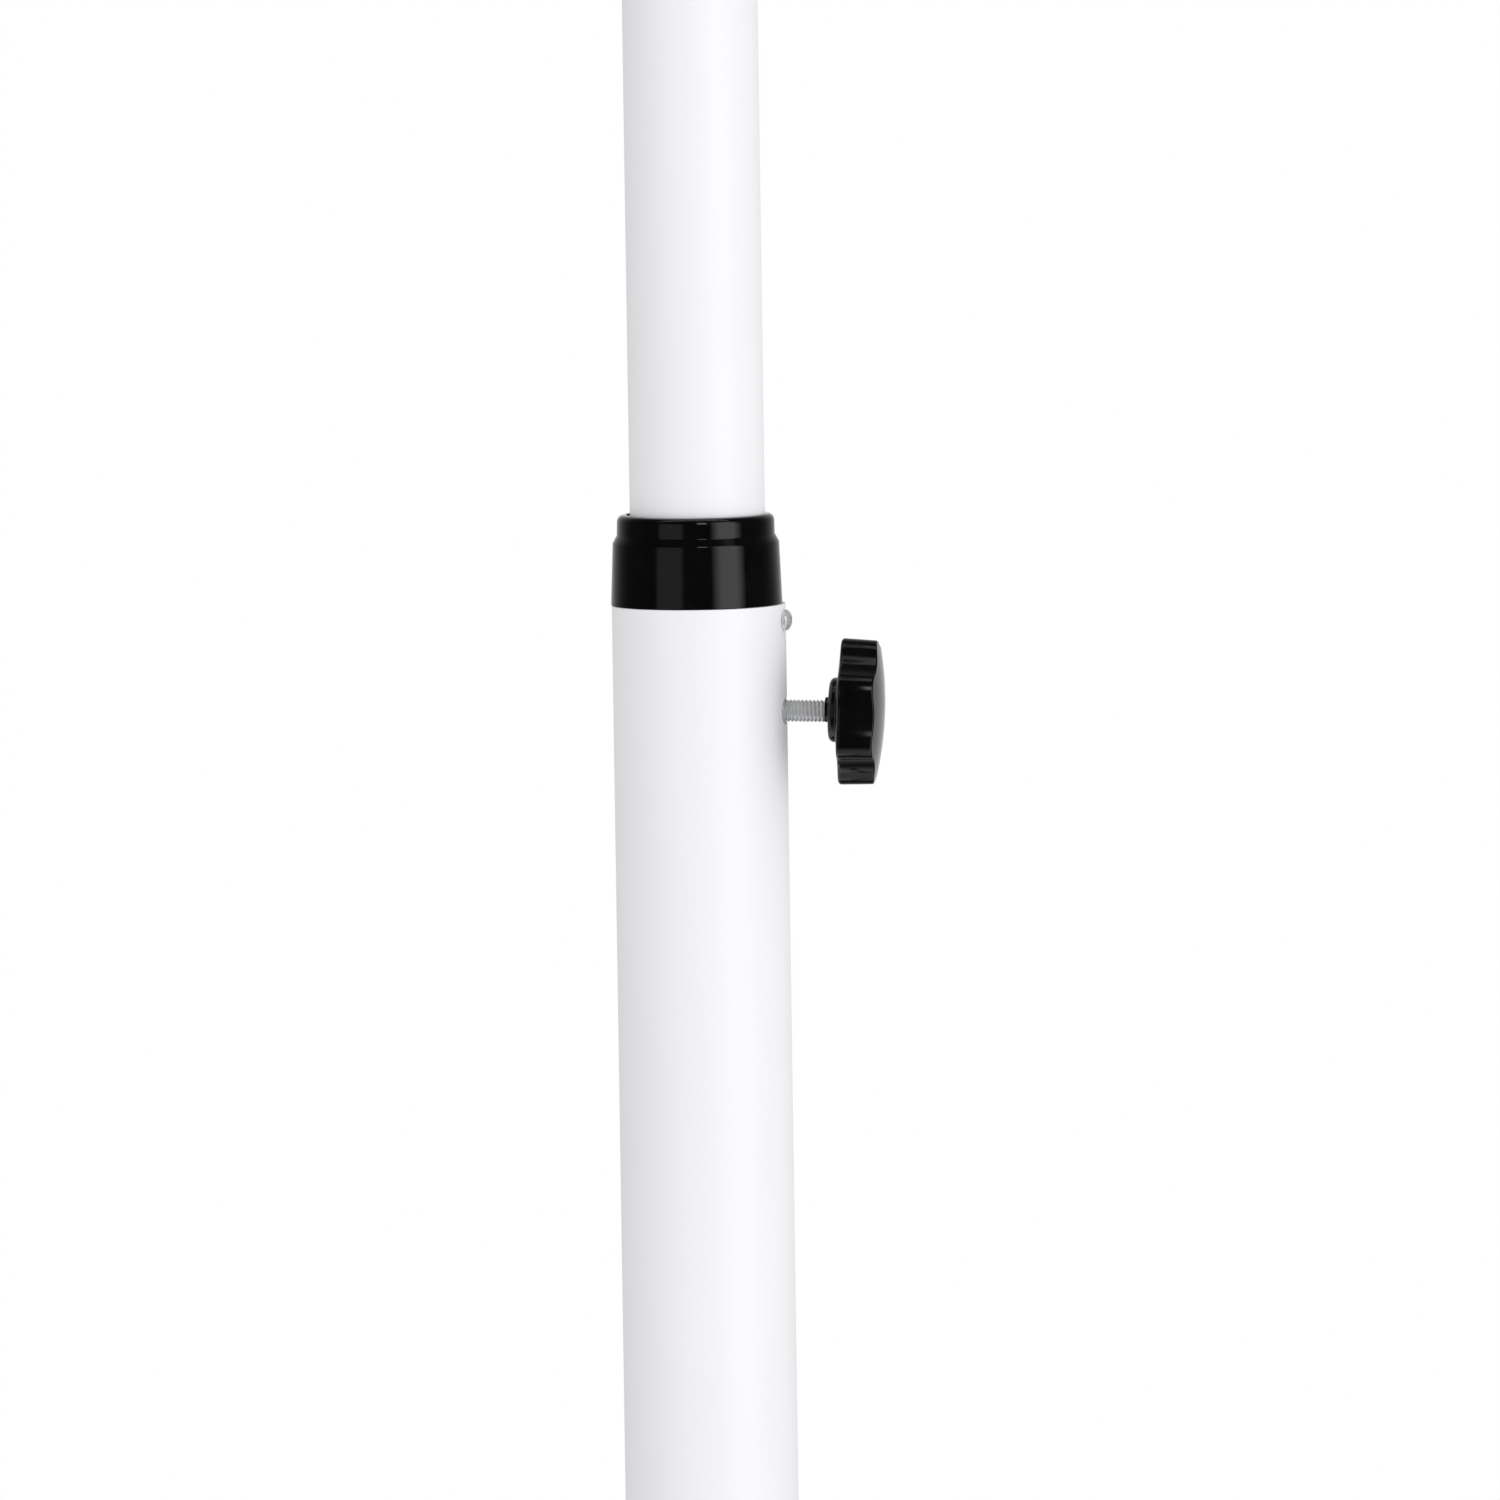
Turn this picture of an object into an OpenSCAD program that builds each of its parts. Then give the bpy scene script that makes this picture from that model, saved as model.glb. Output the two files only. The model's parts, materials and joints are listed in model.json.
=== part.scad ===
// Heavy sheet-music stand: a telescopic steel column with a star-knob clamp, a tilting
// sheet-steel desk and a base with three folding legs.
// Millimetres. +Z is up, the floor is z = 0 and the musician stands on the -Y side.

/* [Column] */
// Outside diameter of the fixed lower tube
lower_tube_d = 45; // [45:0.1:47]
// Wall of the lower tube
lower_tube_wall = 1.2; // [1:0.05:1.25]
// Outside diameter of the sliding upper tube
upper_tube_d = 35; // [33:0.1:35]
// Wall of the upper tube
upper_tube_wall = 1.5; // [1.2:0.1:2]
// Height of the lower tube's rim above the floor
rim_z = 700; // [620:5:800]
// Length of the upper tube
upper_tube_len = 620; // [560:5:640]
// How far the upper tube stands out of the lower one
upper_tube_out = 396; // [340:2:440]

/* [Collar] */
// Height of the collar above the rim
collar_h = 23.4; // [22:0.2:26]
// Height of the collar's flared skirt
skirt_h = 15.6; // [13:0.2:16.6]
// Diameter of the collar at the rim
skirt_d = 44.8; // [44:0.1:45]
// Diameter of the collar's upper ring
ring_d = 41; // [40.4:0.1:42]
// Diameter of the collar's open mouth
mouth_d = 37; // [36.4:0.1:38]
// Depth of the collar's sleeve inside the lower tube
sleeve_len = 50; // [44:1:70]
// Radial gap between the sleeve and the upper tube
sleeve_gap = 0.3; // [0.25:0.05:0.5]
// Distance of the collar screw below the rim
collar_screw_drop = 4.1; // [4:0.1:8]
// Turn of the collar screw from the clamp's side towards the musician
collar_screw_turn = 8; // [0:1:90]

/* [Clamp] */
// Distance of the clamp's axis below the rim
clamp_drop = 27.8; // [24:0.1:34]
// Outside diameter of the clamp stud's thread
stud_d = 5.7; // [5:0.1:6]
// Pitch of the clamp stud's thread
stud_pitch = 1; // [0.8:0.05:1.25]
// Bare length of stud between the tube and the knob
stud_bare = 9.9; // [8:0.1:14]
// Sag of the stud in the play of its nut, in degrees
stud_sag = 1.2; // [0:0.1:1.5]
// Thickness of the pressure pad
pad_t = 0.6; // [0.5:0.05:0.8]
// Diameter of the pressure pad
pad_d = 9; // [8:0.5:10]
// Thickness of the saddle nut at its middle
nut_t = 1.95; // [1.6:0.05:2]
// Width and height of the saddle nut
nut_w = 13; // [12.5:0.5:15]
// Height of the slot for the stud in the lower tube
stud_slot_h = 7; // [6.5:0.1:8]
// Width of the slot for the stud in the lower tube
stud_slot_w = 12; // [8:0.1:12.5]
// Turn of the clamp knob's lobes when it is tight, in degrees
clamp_knob_turn = 40; // [0:1:51]

/* [Knobs] */
// Diameter of a star knob over its lobes
knob_d = 38.8; // [36:0.2:42]
// Number of lobes
knob_lobes = 7; // [6:1:8]
// Depth of the valleys between the lobes
knob_valley = 2.4; // [1.6:0.1:3]
// Diameter of the knob's hub
knob_hub_d = 16.8; // [15:0.1:19]
// Height of the hub behind the lobes
knob_hub_h = 2; // [1.8:0.1:4]
// Thickness of the lobes at the rim
knob_rim_h = 9; // [7:0.1:11]
// Rise of the domed front
knob_dome = 2.2; // [1:0.1:4]

/* [Desk] */
// Width of the desk
desk_w = 500; // [420:5:540]
// Height of the desk panel above its ledge
desk_h = 340; // [280:5:380]
// Part of the panel that lies below the tilt bolt
desk_below = 160; // [140:5:180]
// Thickness of the desk's sheet steel
sheet_t = 1.2; // [1:0.1:2]
// Corner radius at the top of the panel
desk_corner_r = 24; // [10:1:40]
// Width of the hem that is folded behind the panel's edge
hem_w = 9; // [6:0.5:14]
// Lean of the desk away from the musician, in degrees
desk_lean = 25; // [10:1:30]
// Depth of the ledge in front of the panel
ledge_depth = 55; // [40:1:60]
// Height of the ledge's turned-up front
ledge_lip = 12; // [8:0.5:20]
// Height of the ledge's flange behind the panel
ledge_flange = 18; // [14:0.5:24]
// Number of rivets that hold the ledge
ledge_rivet_count = 5; // [3:2:9]

/* [Tilt head] */
// Distance of the tilt bolt above the head's flange
pivot_rise = 28; // [26:0.5:40]
// Thickness of the head's lug
lug_t = 16; // [12:0.5:20]
// Radius of the lug and of the bracket's cheeks around the bolt
lug_r = 14.5; // [12:0.5:16]
// Diameter of the tilt bolt
bolt_d = 8; // [6:0.1:8]
// Thickness of a friction washer
friction_t = 1; // [0.8:0.1:2]
// Thickness of the bracket's steel
bracket_t = 3; // [2:0.25:4]
// Distance from the tilt bolt to the back of the panel
panel_back = 38; // [36:1:50]
// Width of the bracket's base plate
bracket_w = 72; // [64:1:90]
// Height of the bracket's base plate
bracket_h = 66; // [60:1:80]
// Thickness of the backing plate between bracket and panel
backing_t = 2; // [1.5:0.25:3]
// Width of the backing plate
backing_w = 140; // [100:2:200]
// Height of the backing plate
backing_h = 100; // [84:2:120]

/* [Base] */
// Radius of the circle through the middles of the three feet
foot_circle_r = 320; // [280:5:360]
// Height of the legs' pins above the floor
leg_pin_z = 104; // [96:1:130]
// Distance of the legs' pins from the column's axis
leg_pin_out = 46; // [44:0.5:52]
// Diameter of a leg's pin
leg_pin_d = 8; // [6:0.5:9]
// Outside diameter of a leg tube
leg_d = 25; // [24:0.5:27]
// Wall of a leg tube
leg_wall = 1.5; // [1:0.1:2.5]
// Outside diameter of the hub's socket
hub_d = 60; // [56:0.5:64]
// Height of the hub
hub_h = 74; // [64:1:100]
// Thickness of the ledge in the hub that the lower tube stands on
hub_floor = 8; // [5:0.5:12]
// Thickness of one of the hub's ears
ear_t = 6; // [4:0.5:8]
// Width of a leg's hinge block
block_w = 18; // [14:0.5:19]
// Height of the leg's axis above the floor at the middle of its foot
foot_axis_z = 20; // [18:0.5:24]
// Diameter of a foot's pad
foot_pad_d = 32; // [28:1:44]
// Thickness of the rubber around a leg tube
foot_wall = 2.5; // [1.5:0.25:3.5]

/* [Hidden] */
$fn = 72;

// Fits: a close fit inside one body, a turning fit, and how far a cutter overshoots
snug = 0.05;
turning = 0.05;
over = 1;

// Colours
white_coat = "#f3f4f6";
black_gloss = "#121214";
black_cast = "#1d1d20";
black_rubber = "#202022";
zinc = "#b8bcc2";
nylon = "#3a3a3d";

// Directions of the legs, counted from +X and a third of a turn apart
rear_turn = 90;
left_turn = rear_turn + 360 / 3;
right_turn = left_turn + 360 / 3;

// The feet's box is centred on the origin, so the column stands in front of it
column_y = -foot_circle_r / 4;

// Column
lower_r = lower_tube_d / 2;
lower_bore_r = lower_r - lower_tube_wall;
upper_r = upper_tube_d / 2;
upper_bore_r = upper_r - upper_tube_wall;
upper_top_z = rim_z + upper_tube_out;
upper_end_z = upper_top_z - upper_tube_len;

// Guide bush and the plug that keeps it on the upper tube's lower end
bush_gap = 0.3;
bush_h = 30;
bush_lip_h = 4;
bush_lip_gap = 0.3;
plug_flange_h = 4;
plug_depth = 24;
plug_wall = 3;

// Collar
sleeve_fit = 0.1;
sleeve_r = lower_bore_r - sleeve_fit;
sleeve_bore_r = upper_r + sleeve_gap;
collar_top_round = 2;
collar_shoulder_h = 2.9;
collar_flare = 0.6;
collar_shoulder_in = 0.4;
collar_shoulder_foot = 0.15;
collar_shoulder_foot_h = 0.87;
mouth_edge = 0.2;
mouth_taper_h = 9;

// Clamp, with its places counted outwards from the column's axis
clamp_z = rim_z - clamp_drop;
pad_gap = 0.3;
pad_x = upper_r + pad_gap;
stud_shoulder_x = pad_x + pad_t;
nut_out_x = lower_bore_r - snug;
nut_in_x = nut_out_x - nut_t;
stud_thread_x = nut_in_x + 0.2;
pad_swage = 0.1;
knob_x = lower_r + stud_bare;
knob_back_h = 1.1;
stud_in_knob = 11;
stud_r = stud_d / 2;
thread_depth = 0.43 * stud_pitch;
stud_core_r = stud_r - thread_depth;
thread_crest = [0.45, 0.55];
stud_neck_r = 1.5;
nut_bore_gap = 0.1;
pocket_gap = 0.15;
pad_window_gap = 0.3;

// Star knob
knob_r = knob_d / 2;
lobe_r = 5.2;
lobe_at = knob_r - lobe_r;
knob_pitch_turn = 360 / knob_lobes;
valley_low = knob_r - knob_valley;
// Radius of the circle that touches two lobes and leaves the valley at its depth
valley_side = lobe_at * cos(knob_pitch_turn / 2);
valley_r = (valley_low * valley_low + lobe_at * lobe_at - 2 * valley_low * valley_side
    - lobe_r * lobe_r) / (2 * (lobe_r + valley_side - valley_low));
valley_at = valley_low + valley_r;
valley_bite = 0.04;
touch = lobe_r / (lobe_r + valley_r);
touch_x = lobe_at + touch * (valley_at * cos(knob_pitch_turn / 2) - lobe_at);
touch_y = touch * valley_at * sin(knob_pitch_turn / 2);
knob_disc_r = norm([touch_x, touch_y]);
stud_boss_wall = 0.4;
bolt_boss_wall = 1.6;
knob_chamfer = 1;
knob_back_cone = 1.1;
knob_round = 0.6;
knob_round_angle = 70;
knob_hub_round = 1.6;
// How far the turned outline lies outside the lobes, so that the lobes keep their own sides
knob_skin = 0.25;
// The dome begins at this share of the radius and takes this many steps
dome_share = 0.92;
dome_steps = 8;

// Screws
screw_head_r = 2.72;
screw_head_h = 2;
screw_r = 1.45;
screw_len = 4.1;
screw_hole_depth = 8;
screw_hole_gap = 0.15;
dome_side = 0.25;
recess_w = 0.8;
recess_l = 3;
recess_depth = 0.9;

// Tilt head
flange_h = 6;
flange_r = upper_r + 1;
flange_edge = 1.5;
spigot_len = 40;
spigot_wall = 3;
pivot_z = upper_top_z + flange_h + pivot_rise;
head_screw_drop = 10;
bolt_r = bolt_d / 2;
bolt_head_r = 9;
bolt_head_h = 4.5;
cheek_in = lug_t / 2 + friction_t;
cheek_out = cheek_in + bracket_t;
washer_gap = 0.2;
washer_t = 1.6;
washer_r = 9;
tilt_knob_x = cheek_out + washer_t;
bolt_in_knob = 12;
friction_r = 12;

// Desk, in its own upright frame with the tilt bolt at the origin
panel_back_y = -panel_back;
panel_front_y = panel_back_y - sheet_t;
backing_front_y = panel_back_y + backing_t;
bracket_front_y = backing_front_y + bracket_t;
panel_low_z = -desk_below;
panel_high_z = desk_h - desk_below;
panel_low_r = 4;
ledge_low_z = panel_low_z - sheet_t;
ledge_front_y = panel_front_y - ledge_depth;
ledge_back_y = panel_back_y + sheet_t;
ledge_bend_r = 2.4;
ledge_bend_in_r = ledge_bend_r - sheet_t;
ledge_bead_r = 1.5;
ledge_end_in = 1;
rivet_r = 1.6;
rivet_head_r = 2.9;
rivet_head_h = 0.8;
rivet_shop_r = 2.6;
rivet_shop_h = 1.1;
rivet_gap = 0.05;
rivet_end_in = 22;
desk_bolt_r = 2.5;
desk_bolt_head_r = 4.6;
desk_bolt_head_h = desk_bolt_head_r - desk_bolt_r;
desk_bolt_key_r = 1.75;
desk_bolt_key_depth = 1.4;
desk_bolt_x = 24;
desk_bolt_z = 22;
desk_nut_r = 4.62;
desk_nut_h = 4;
desk_bolt_tip = 1;
cheek_flare = 10;
cheek_flare_share = 0.45;
cheek_flare_y = cheek_flare_share * bracket_front_y;
cheek_taper = 1;
bracket_corner_r = 6;
backing_corner_r = 8;

// Base
pin_r = leg_pin_d / 2;
ear_r = 12;
ear_gap = 0.2;
ear_in = block_w / 2 + ear_gap;
ear_out = ear_in + ear_t;
block_r = 11;
stop_gap = 0.5;
stop_x = leg_pin_out - block_r - stop_gap;
hub_drop = 20;
hub_low_z = leg_pin_z - hub_drop;
hub_top_z = hub_low_z + hub_h;
tube_foot_z = hub_low_z + hub_floor;
hub_edge = 2;
hub_screw_drop = 14;
hub_screw_r = 3;
hub_screw_head_r = 5.25;
hub_screw_head_h = 3.3;
hub_screw_seat = 0.9;
hub_screw_seat_r = 6.5;
hub_screw_key_r = 2.3;
hub_screw_tip_gap = 0.12;
column_plug_r = 18;
column_plug_flange_r = 24;
column_plug_flange_h = 3;
column_plug_dome_h = 2;
pin_head_r = 7;
pin_head_h = 3.2;

// A leg lies along its own x, from the pin outwards and down
leg_r = leg_d / 2;
leg_bore_r = leg_r - leg_wall;
leg_slope = atan((leg_pin_z - foot_axis_z) / (foot_circle_r - leg_pin_out));
leg_reach = norm([leg_pin_z - foot_axis_z, foot_circle_r - leg_pin_out]);
block_bar_h = 20;
block_boss_x = 22;
leg_tube_x = 28;
block_spigot = 30;
leg_tube_past = 10;
foot_back = 20;
foot_end_t = 4;
leg_rivet_x = 43;
leg_rivet_head_r = 3.2;
leg_rivet_head_h = 1.1;
leg_rivet_in = 8;
leg_rivet_hole_gap = 0.1;

// Points of an arc around c, for outlines
function arc(c, r, from, to, steps = 6) =
    [for (i = [0:steps]) let (a = from + (to - from) * i / steps) c + r * [cos(a), sin(a)]];

// Moves its children onto the column's axis
module on_column(z = 0) {
    translate([0, column_y, z]) children();
}

// Turns a child that is built along +Z to point outwards along +X
module outwards() {
    rotate([0, 90, 0]) children();
}

// Turns a child that is built along +Z to point towards the musician, along -Y
module forwards() {
    rotate([90, 0, 0]) children();
}

module tube(r, bore_r, length) {
    difference() {
        cylinder(r = r, h = length);
        translate([0, 0, -over]) cylinder(r = bore_r, h = length + 2 * over);
    }
}

// Low domed head, flat side at z = 0
module dome_head(r, h) {
    side = h * dome_side;
    edge_r = h - side;
    rotate_extrude()
        polygon(concat([[0, 0], [r, 0], [r, side]], arc([r - edge_r, side], edge_r, 0, 90), [[0, h]]));
}

// Pan-head screw with a cross recess, head upwards from z = 0 and shank below
module pan_screw(length) {
    difference() {
        union() {
            dome_head(screw_head_r, screw_head_h);
            translate([0, 0, -length]) cylinder(r = screw_r, h = length + snug);
        }
        for (turn = [45, 135])
            rotate(turn)
                translate([-recess_l / 2, -recess_w / 2, screw_head_h - recess_depth])
                    cube([recess_l, recess_w, recess_depth + over]);
    }
}

// Outline of a star knob with round lobes and smooth valleys
module star_outline() {
    difference() {
        union() {
            circle(r = knob_disc_r);
            for (i = [0:knob_lobes - 1])
                rotate(i * knob_pitch_turn) translate([lobe_at, 0]) circle(r = lobe_r);
        }
        for (i = [0:knob_lobes - 1])
            rotate((i + 0.5) * knob_pitch_turn)
                translate([valley_at, 0]) circle(r = valley_r + valley_bite, $fn = 144);
    }
}

// Star knob along +Z: back boss at z = 0, then hub, lobes and the domed front
module star_knob(boss_r, bore_r, bore_depth) {
    hub_z = knob_back_h;
    lobes_z = hub_z + knob_hub_h;
    rim_low = lobes_z + knob_back_cone;
    rim_high = rim_low + knob_rim_h;
    hub_r = knob_hub_d / 2;
    skin_r = knob_r + knob_skin;
    side = concat([[knob_r - knob_chamfer, rim_low], [skin_r, rim_low + knob_chamfer]],
        arc([skin_r - knob_round, rim_high - knob_round], knob_round, 0, knob_round_angle));
    dome = [for (i = [dome_steps - 1:-1:0]) let (q = dome_share * i / dome_steps)
        [knob_r * q, rim_high + knob_dome * (1 - q * q)]];
    difference() {
        union() {
            cylinder(r = boss_r, h = hub_z + over);
            rotate_extrude()
                polygon(concat([[0, hub_z]], arc([hub_r - knob_hub_round, hub_z + knob_hub_round],
                    knob_hub_round, -90, 0), [[hub_r, lobes_z + over], [0, lobes_z + over]]));
            intersection() {
                translate([0, 0, lobes_z]) linear_extrude(rim_high + knob_dome + over) star_outline();
                rotate_extrude() polygon(concat([[0, lobes_z], [hub_r, lobes_z]], side, dome));
            }
        }
        translate([0, 0, -over]) cylinder(r = bore_r, h = bore_depth + over);
    }
}

// Column --------------------------------------------------------------------------------------

module outer_tube() {
    color(white_coat) on_column() difference() {
        translate([0, 0, tube_foot_z]) tube(lower_r, lower_bore_r, rim_z - tube_foot_z);
        stud_slot();
        collar_screw_place() screw_hole(screw_r + screw_hole_gap);
    }
}

// Cutter for the slot that the stud passes through, wider than high
module stud_slot() {
    half = stud_slot_w / 2 - stud_slot_h / 2;
    translate([0, 0, clamp_z]) {
        for (side = [-half, half])
            translate([0, side, 0]) outwards() cylinder(d = stud_slot_h, h = lower_r + over);
        translate([0, -half, -stud_slot_h / 2]) cube([lower_r + over, 2 * half, stud_slot_h]);
    }
}

// Cutter for a screw's hole, around the place of its head
module screw_hole(r) {
    translate([0, 0, -screw_hole_depth]) cylinder(r = r, h = screw_hole_depth + over);
}

// The collar screw points inwards at the tube's side, with its head outside
module collar_screw_place() {
    rotate(-collar_screw_turn) translate([lower_r, 0, rim_z - collar_screw_drop]) outwards() children();
}

module collar() {
    ring_r = ring_d / 2;
    mouth_r = min(mouth_d / 2, ring_r - collar_top_round);
    skirt_r = skirt_d / 2;
    skirt_top_r = skirt_r - collar_flare;
    shoulder_z = skirt_h + collar_shoulder_h;
    profile = concat(
        [[sleeve_bore_r, -sleeve_len], [sleeve_r, -sleeve_len], [sleeve_r, 0], [skirt_r, 0]],
        [[skirt_top_r, skirt_h - collar_top_round / 2], [skirt_top_r - collar_shoulder_in, skirt_h]],
        [[ring_r + collar_shoulder_foot, shoulder_z - collar_shoulder_foot_h], [ring_r, shoulder_z]],
        arc([ring_r - collar_top_round, collar_h - collar_top_round], collar_top_round, 0, 90),
        [[mouth_r, collar_h - mouth_edge], [sleeve_bore_r, collar_h - mouth_taper_h]]);
    color(black_gloss) on_column() difference() {
        translate([0, 0, rim_z]) rotate_extrude($fn = 96) polygon(profile);
        // Pocket of the saddle nut, and the window of the pad
        translate([nut_in_x - snug, -nut_w / 2 - pocket_gap, clamp_z - nut_w / 2 - pocket_gap])
            cube([lower_r, nut_w + 2 * pocket_gap, nut_w + 2 * pocket_gap]);
        translate([0, 0, clamp_z]) outwards() cylinder(r = pad_d / 2 + pad_window_gap, h = lower_r);
        collar_screw_place() screw_hole(screw_r + snug);
    }
}

module collar_screw() {
    color(zinc) on_column() collar_screw_place() pan_screw(screw_len);
}

// Carries what belongs to the sagging clamp axis: x stays the distance from the column
module on_clamp() {
    nut_mid = (nut_in_x + nut_out_x) / 2;
    on_column(clamp_z)
        translate([nut_mid, 0, 0]) rotate([0, stud_sag, 0]) translate([-nut_mid, 0, 0]) children();
}

module clamp_nut() {
    color(zinc) on_column() difference() {
        intersection() {
            translate([0, 0, clamp_z - nut_w / 2]) cylinder(r = nut_out_x, h = nut_w);
            translate([nut_in_x, -nut_w / 2, clamp_z - nut_w / 2]) cube([lower_r, nut_w, nut_w]);
        }
        translate([0, 0, clamp_z]) outwards() cylinder(r = stud_r + nut_bore_gap, h = lower_r);
    }
}

module clamp_pad() {
    color(nylon) on_clamp() translate([pad_x, 0, 0]) outwards() difference() {
        cylinder(d = pad_d, h = pad_t);
        translate([0, 0, -over]) cylinder(r = stud_neck_r + turning, h = pad_t + 2 * over);
    }
}

module clamp_stud() {
    thread_len = knob_x + stud_in_knob - stud_thread_x;
    turns = floor(thread_len / stud_pitch);
    tip_x = pad_x + pad_swage;
    neck = [[0, tip_x], [stud_neck_r, tip_x], [stud_neck_r, stud_shoulder_x]];
    core = [[stud_core_r, stud_shoulder_x], [stud_core_r, stud_thread_x]];
    ridge = [[stud_r, thread_crest[0]], [stud_r, thread_crest[1]], [stud_core_r, 1]];
    rings = [for (i = [0:turns - 1], p = ridge) [p[0], stud_thread_x + (i + p[1]) * stud_pitch]];
    profile = concat(neck, core, rings, [[0, stud_thread_x + turns * stud_pitch]]);
    color(zinc) on_clamp() outwards() rotate_extrude($fn = 48) polygon(profile);
}

module clamp_knob() {
    color(black_gloss) on_clamp() translate([knob_x, 0, 0]) outwards() rotate(clamp_knob_turn)
        star_knob(stud_r + stud_boss_wall, stud_r + snug, stud_in_knob + snug);
}

module inner_tube() {
    color(white_coat) on_column() difference() {
        translate([0, 0, upper_end_z]) tube(upper_r, upper_bore_r, upper_tube_len);
        for (turn = [0, 180])
            head_screw_place(turn) screw_hole(screw_r + screw_hole_gap);
    }
}

// Bush that slides in the lower tube: its lip lies between the upper tube's end and the plug
module guide_bush() {
    color(black_cast) on_column(upper_end_z - bush_lip_h) difference() {
        cylinder(r = lower_bore_r - bush_gap, h = bush_h);
        translate([0, 0, bush_lip_h]) cylinder(r = upper_r + turning, h = bush_h);
        translate([0, 0, -over]) cylinder(r = upper_bore_r + bush_lip_gap, h = bush_h);
    }
}

module tube_plug() {
    color(black_cast) on_column(upper_end_z - bush_lip_h) difference() {
        union() {
            translate([0, 0, -plug_flange_h]) cylinder(r = upper_r + over, h = plug_flange_h);
            cylinder(r = upper_bore_r - snug, h = plug_depth + bush_lip_h);
        }
        translate([0, 0, plug_wall]) cylinder(r = upper_bore_r - plug_wall, h = plug_depth + bush_lip_h);
    }
}

// Tilt head -----------------------------------------------------------------------------------

module head_screw_place(turn) {
    rotate(turn) translate([upper_r, 0, upper_top_z - head_screw_drop]) outwards() children();
}

module tilt_head() {
    spigot_z = upper_top_z - spigot_len;
    color(black_cast) on_column() difference() {
        union() {
            translate([0, 0, spigot_z]) cylinder(r = upper_bore_r - snug, h = spigot_len + over);
            translate([0, 0, upper_top_z]) cylinder(r = flange_r, h = flange_h - flange_edge);
            translate([0, 0, upper_top_z + flange_h - flange_edge])
                cylinder(r1 = flange_r, r2 = flange_r - flange_edge, h = flange_edge);
            translate([-lug_t / 2, 0, 0]) rotate([90, 0, 90]) linear_extrude(lug_t) union() {
                translate([0, pivot_z]) circle(r = lug_r);
                translate([-lug_r, upper_top_z + over]) square([2 * lug_r, pivot_z - upper_top_z - over]);
            }
        }
        translate([0, 0, spigot_z - over])
            cylinder(r = upper_bore_r - spigot_wall, h = spigot_len + over - spigot_wall);
        translate([-lug_t, 0, pivot_z]) outwards() cylinder(r = bolt_r + turning, h = 2 * lug_t);
        for (turn = [0, 180])
            head_screw_place(turn) screw_hole(screw_r + snug);
    }
}

module head_screws() {
    color(zinc) on_column() for (turn = [0, 180]) head_screw_place(turn) pan_screw(screw_len);
}

// Puts its children at the tilt bolt, in the desk's own upright frame
module on_desk() {
    on_column(pivot_z) rotate([-desk_lean, 0, 0]) children();
}

module tilt_bolt() {
    color(zinc) on_desk() translate([-cheek_out, 0, 0]) union() {
        rotate([0, -90, 0]) dome_head(bolt_head_r, bolt_head_h);
        translate([-snug, -bolt_r, -bolt_r]) cube([bracket_t, bolt_d, bolt_d]);
        outwards() cylinder(r = bolt_r, h = cheek_out + tilt_knob_x + bolt_in_knob);
    }
}

module friction_washers() {
    color(nylon) on_desk() for (x = [-cheek_in, lug_t / 2])
        translate([x, 0, 0]) outwards() tube(friction_r, bolt_r + washer_gap, friction_t);
}

module tilt_washer() {
    color(zinc) on_desk() translate([cheek_out, 0, 0]) outwards()
        tube(washer_r, bolt_r + washer_gap, washer_t);
}

module tilt_knob() {
    color(black_gloss) on_desk() translate([tilt_knob_x, 0, 0]) outwards()
        star_knob(bolt_r + bolt_boss_wall, bolt_r + turning, bolt_in_knob + over);
}

// Rounded rectangle around the origin
module round_plate(w, h, r) {
    square([w - 2 * r, h], center = true);
    square([w, h - 2 * r], center = true);
    for (x = [-1, 1], y = [-1, 1])
        translate([x * (w / 2 - r), y * (h / 2 - r)]) circle(r = r);
}

// Hole for a flush head and its shank, along +Z from the sheet's front at z = 0
module sunk_hole(head_r, head_h, r) {
    translate([0, 0, -over]) cylinder(r = head_r, h = over);
    cylinder(r1 = head_r, r2 = r, h = head_h);
    translate([0, 0, -over]) cylinder(r = r, h = panel_back);
}

// Puts its children at the panel's front, pointing back through the sheet
module into_panel(x, z) {
    translate([x, panel_front_y, z]) rotate([-90, 0, 0]) children();
}

module bolt_places() {
    for (x = [-desk_bolt_x, desk_bolt_x], z = [-desk_bolt_z, desk_bolt_z])
        into_panel(x, z) children();
}

module bolt_holes() {
    bolt_places() sunk_hole(desk_bolt_head_r + snug, desk_bolt_head_h, desk_bolt_r + snug);
}

module cheek() {
    union() {
        circle(r = lug_r);
        translate([bracket_front_y, -lug_r]) square([-bracket_front_y, 2 * lug_r]);
        polygon([[bracket_front_y, -lug_r - cheek_flare], [cheek_flare_y, -lug_r + cheek_taper],
            [cheek_flare_y, lug_r - cheek_taper], [bracket_front_y, lug_r + cheek_flare]]);
    }
}

module desk_bracket() {
    color(black_cast) on_desk() difference() {
        union() {
            translate([0, bracket_front_y, 0]) forwards()
                linear_extrude(bracket_t) round_plate(bracket_w, bracket_h, bracket_corner_r);
            for (x = [-cheek_out, cheek_in])
                translate([x, 0, 0]) rotate([90, 0, 90]) linear_extrude(bracket_t) cheek();
        }
        bolt_holes();
        translate([cheek_in - over, 0, 0]) outwards()
            cylinder(r = bolt_r + snug, h = bracket_t + 2 * over);
        translate([-cheek_out - over, -bolt_r - snug, -bolt_r - snug])
            cube([bracket_t + 2 * over, bolt_d + 2 * snug, bolt_d + 2 * snug]);
    }
}

module backing_plate() {
    color(black_cast) on_desk() difference() {
        translate([0, backing_front_y, 0]) forwards()
            linear_extrude(backing_t) round_plate(backing_w, backing_h, backing_corner_r);
        bolt_holes();
    }
}

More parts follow.
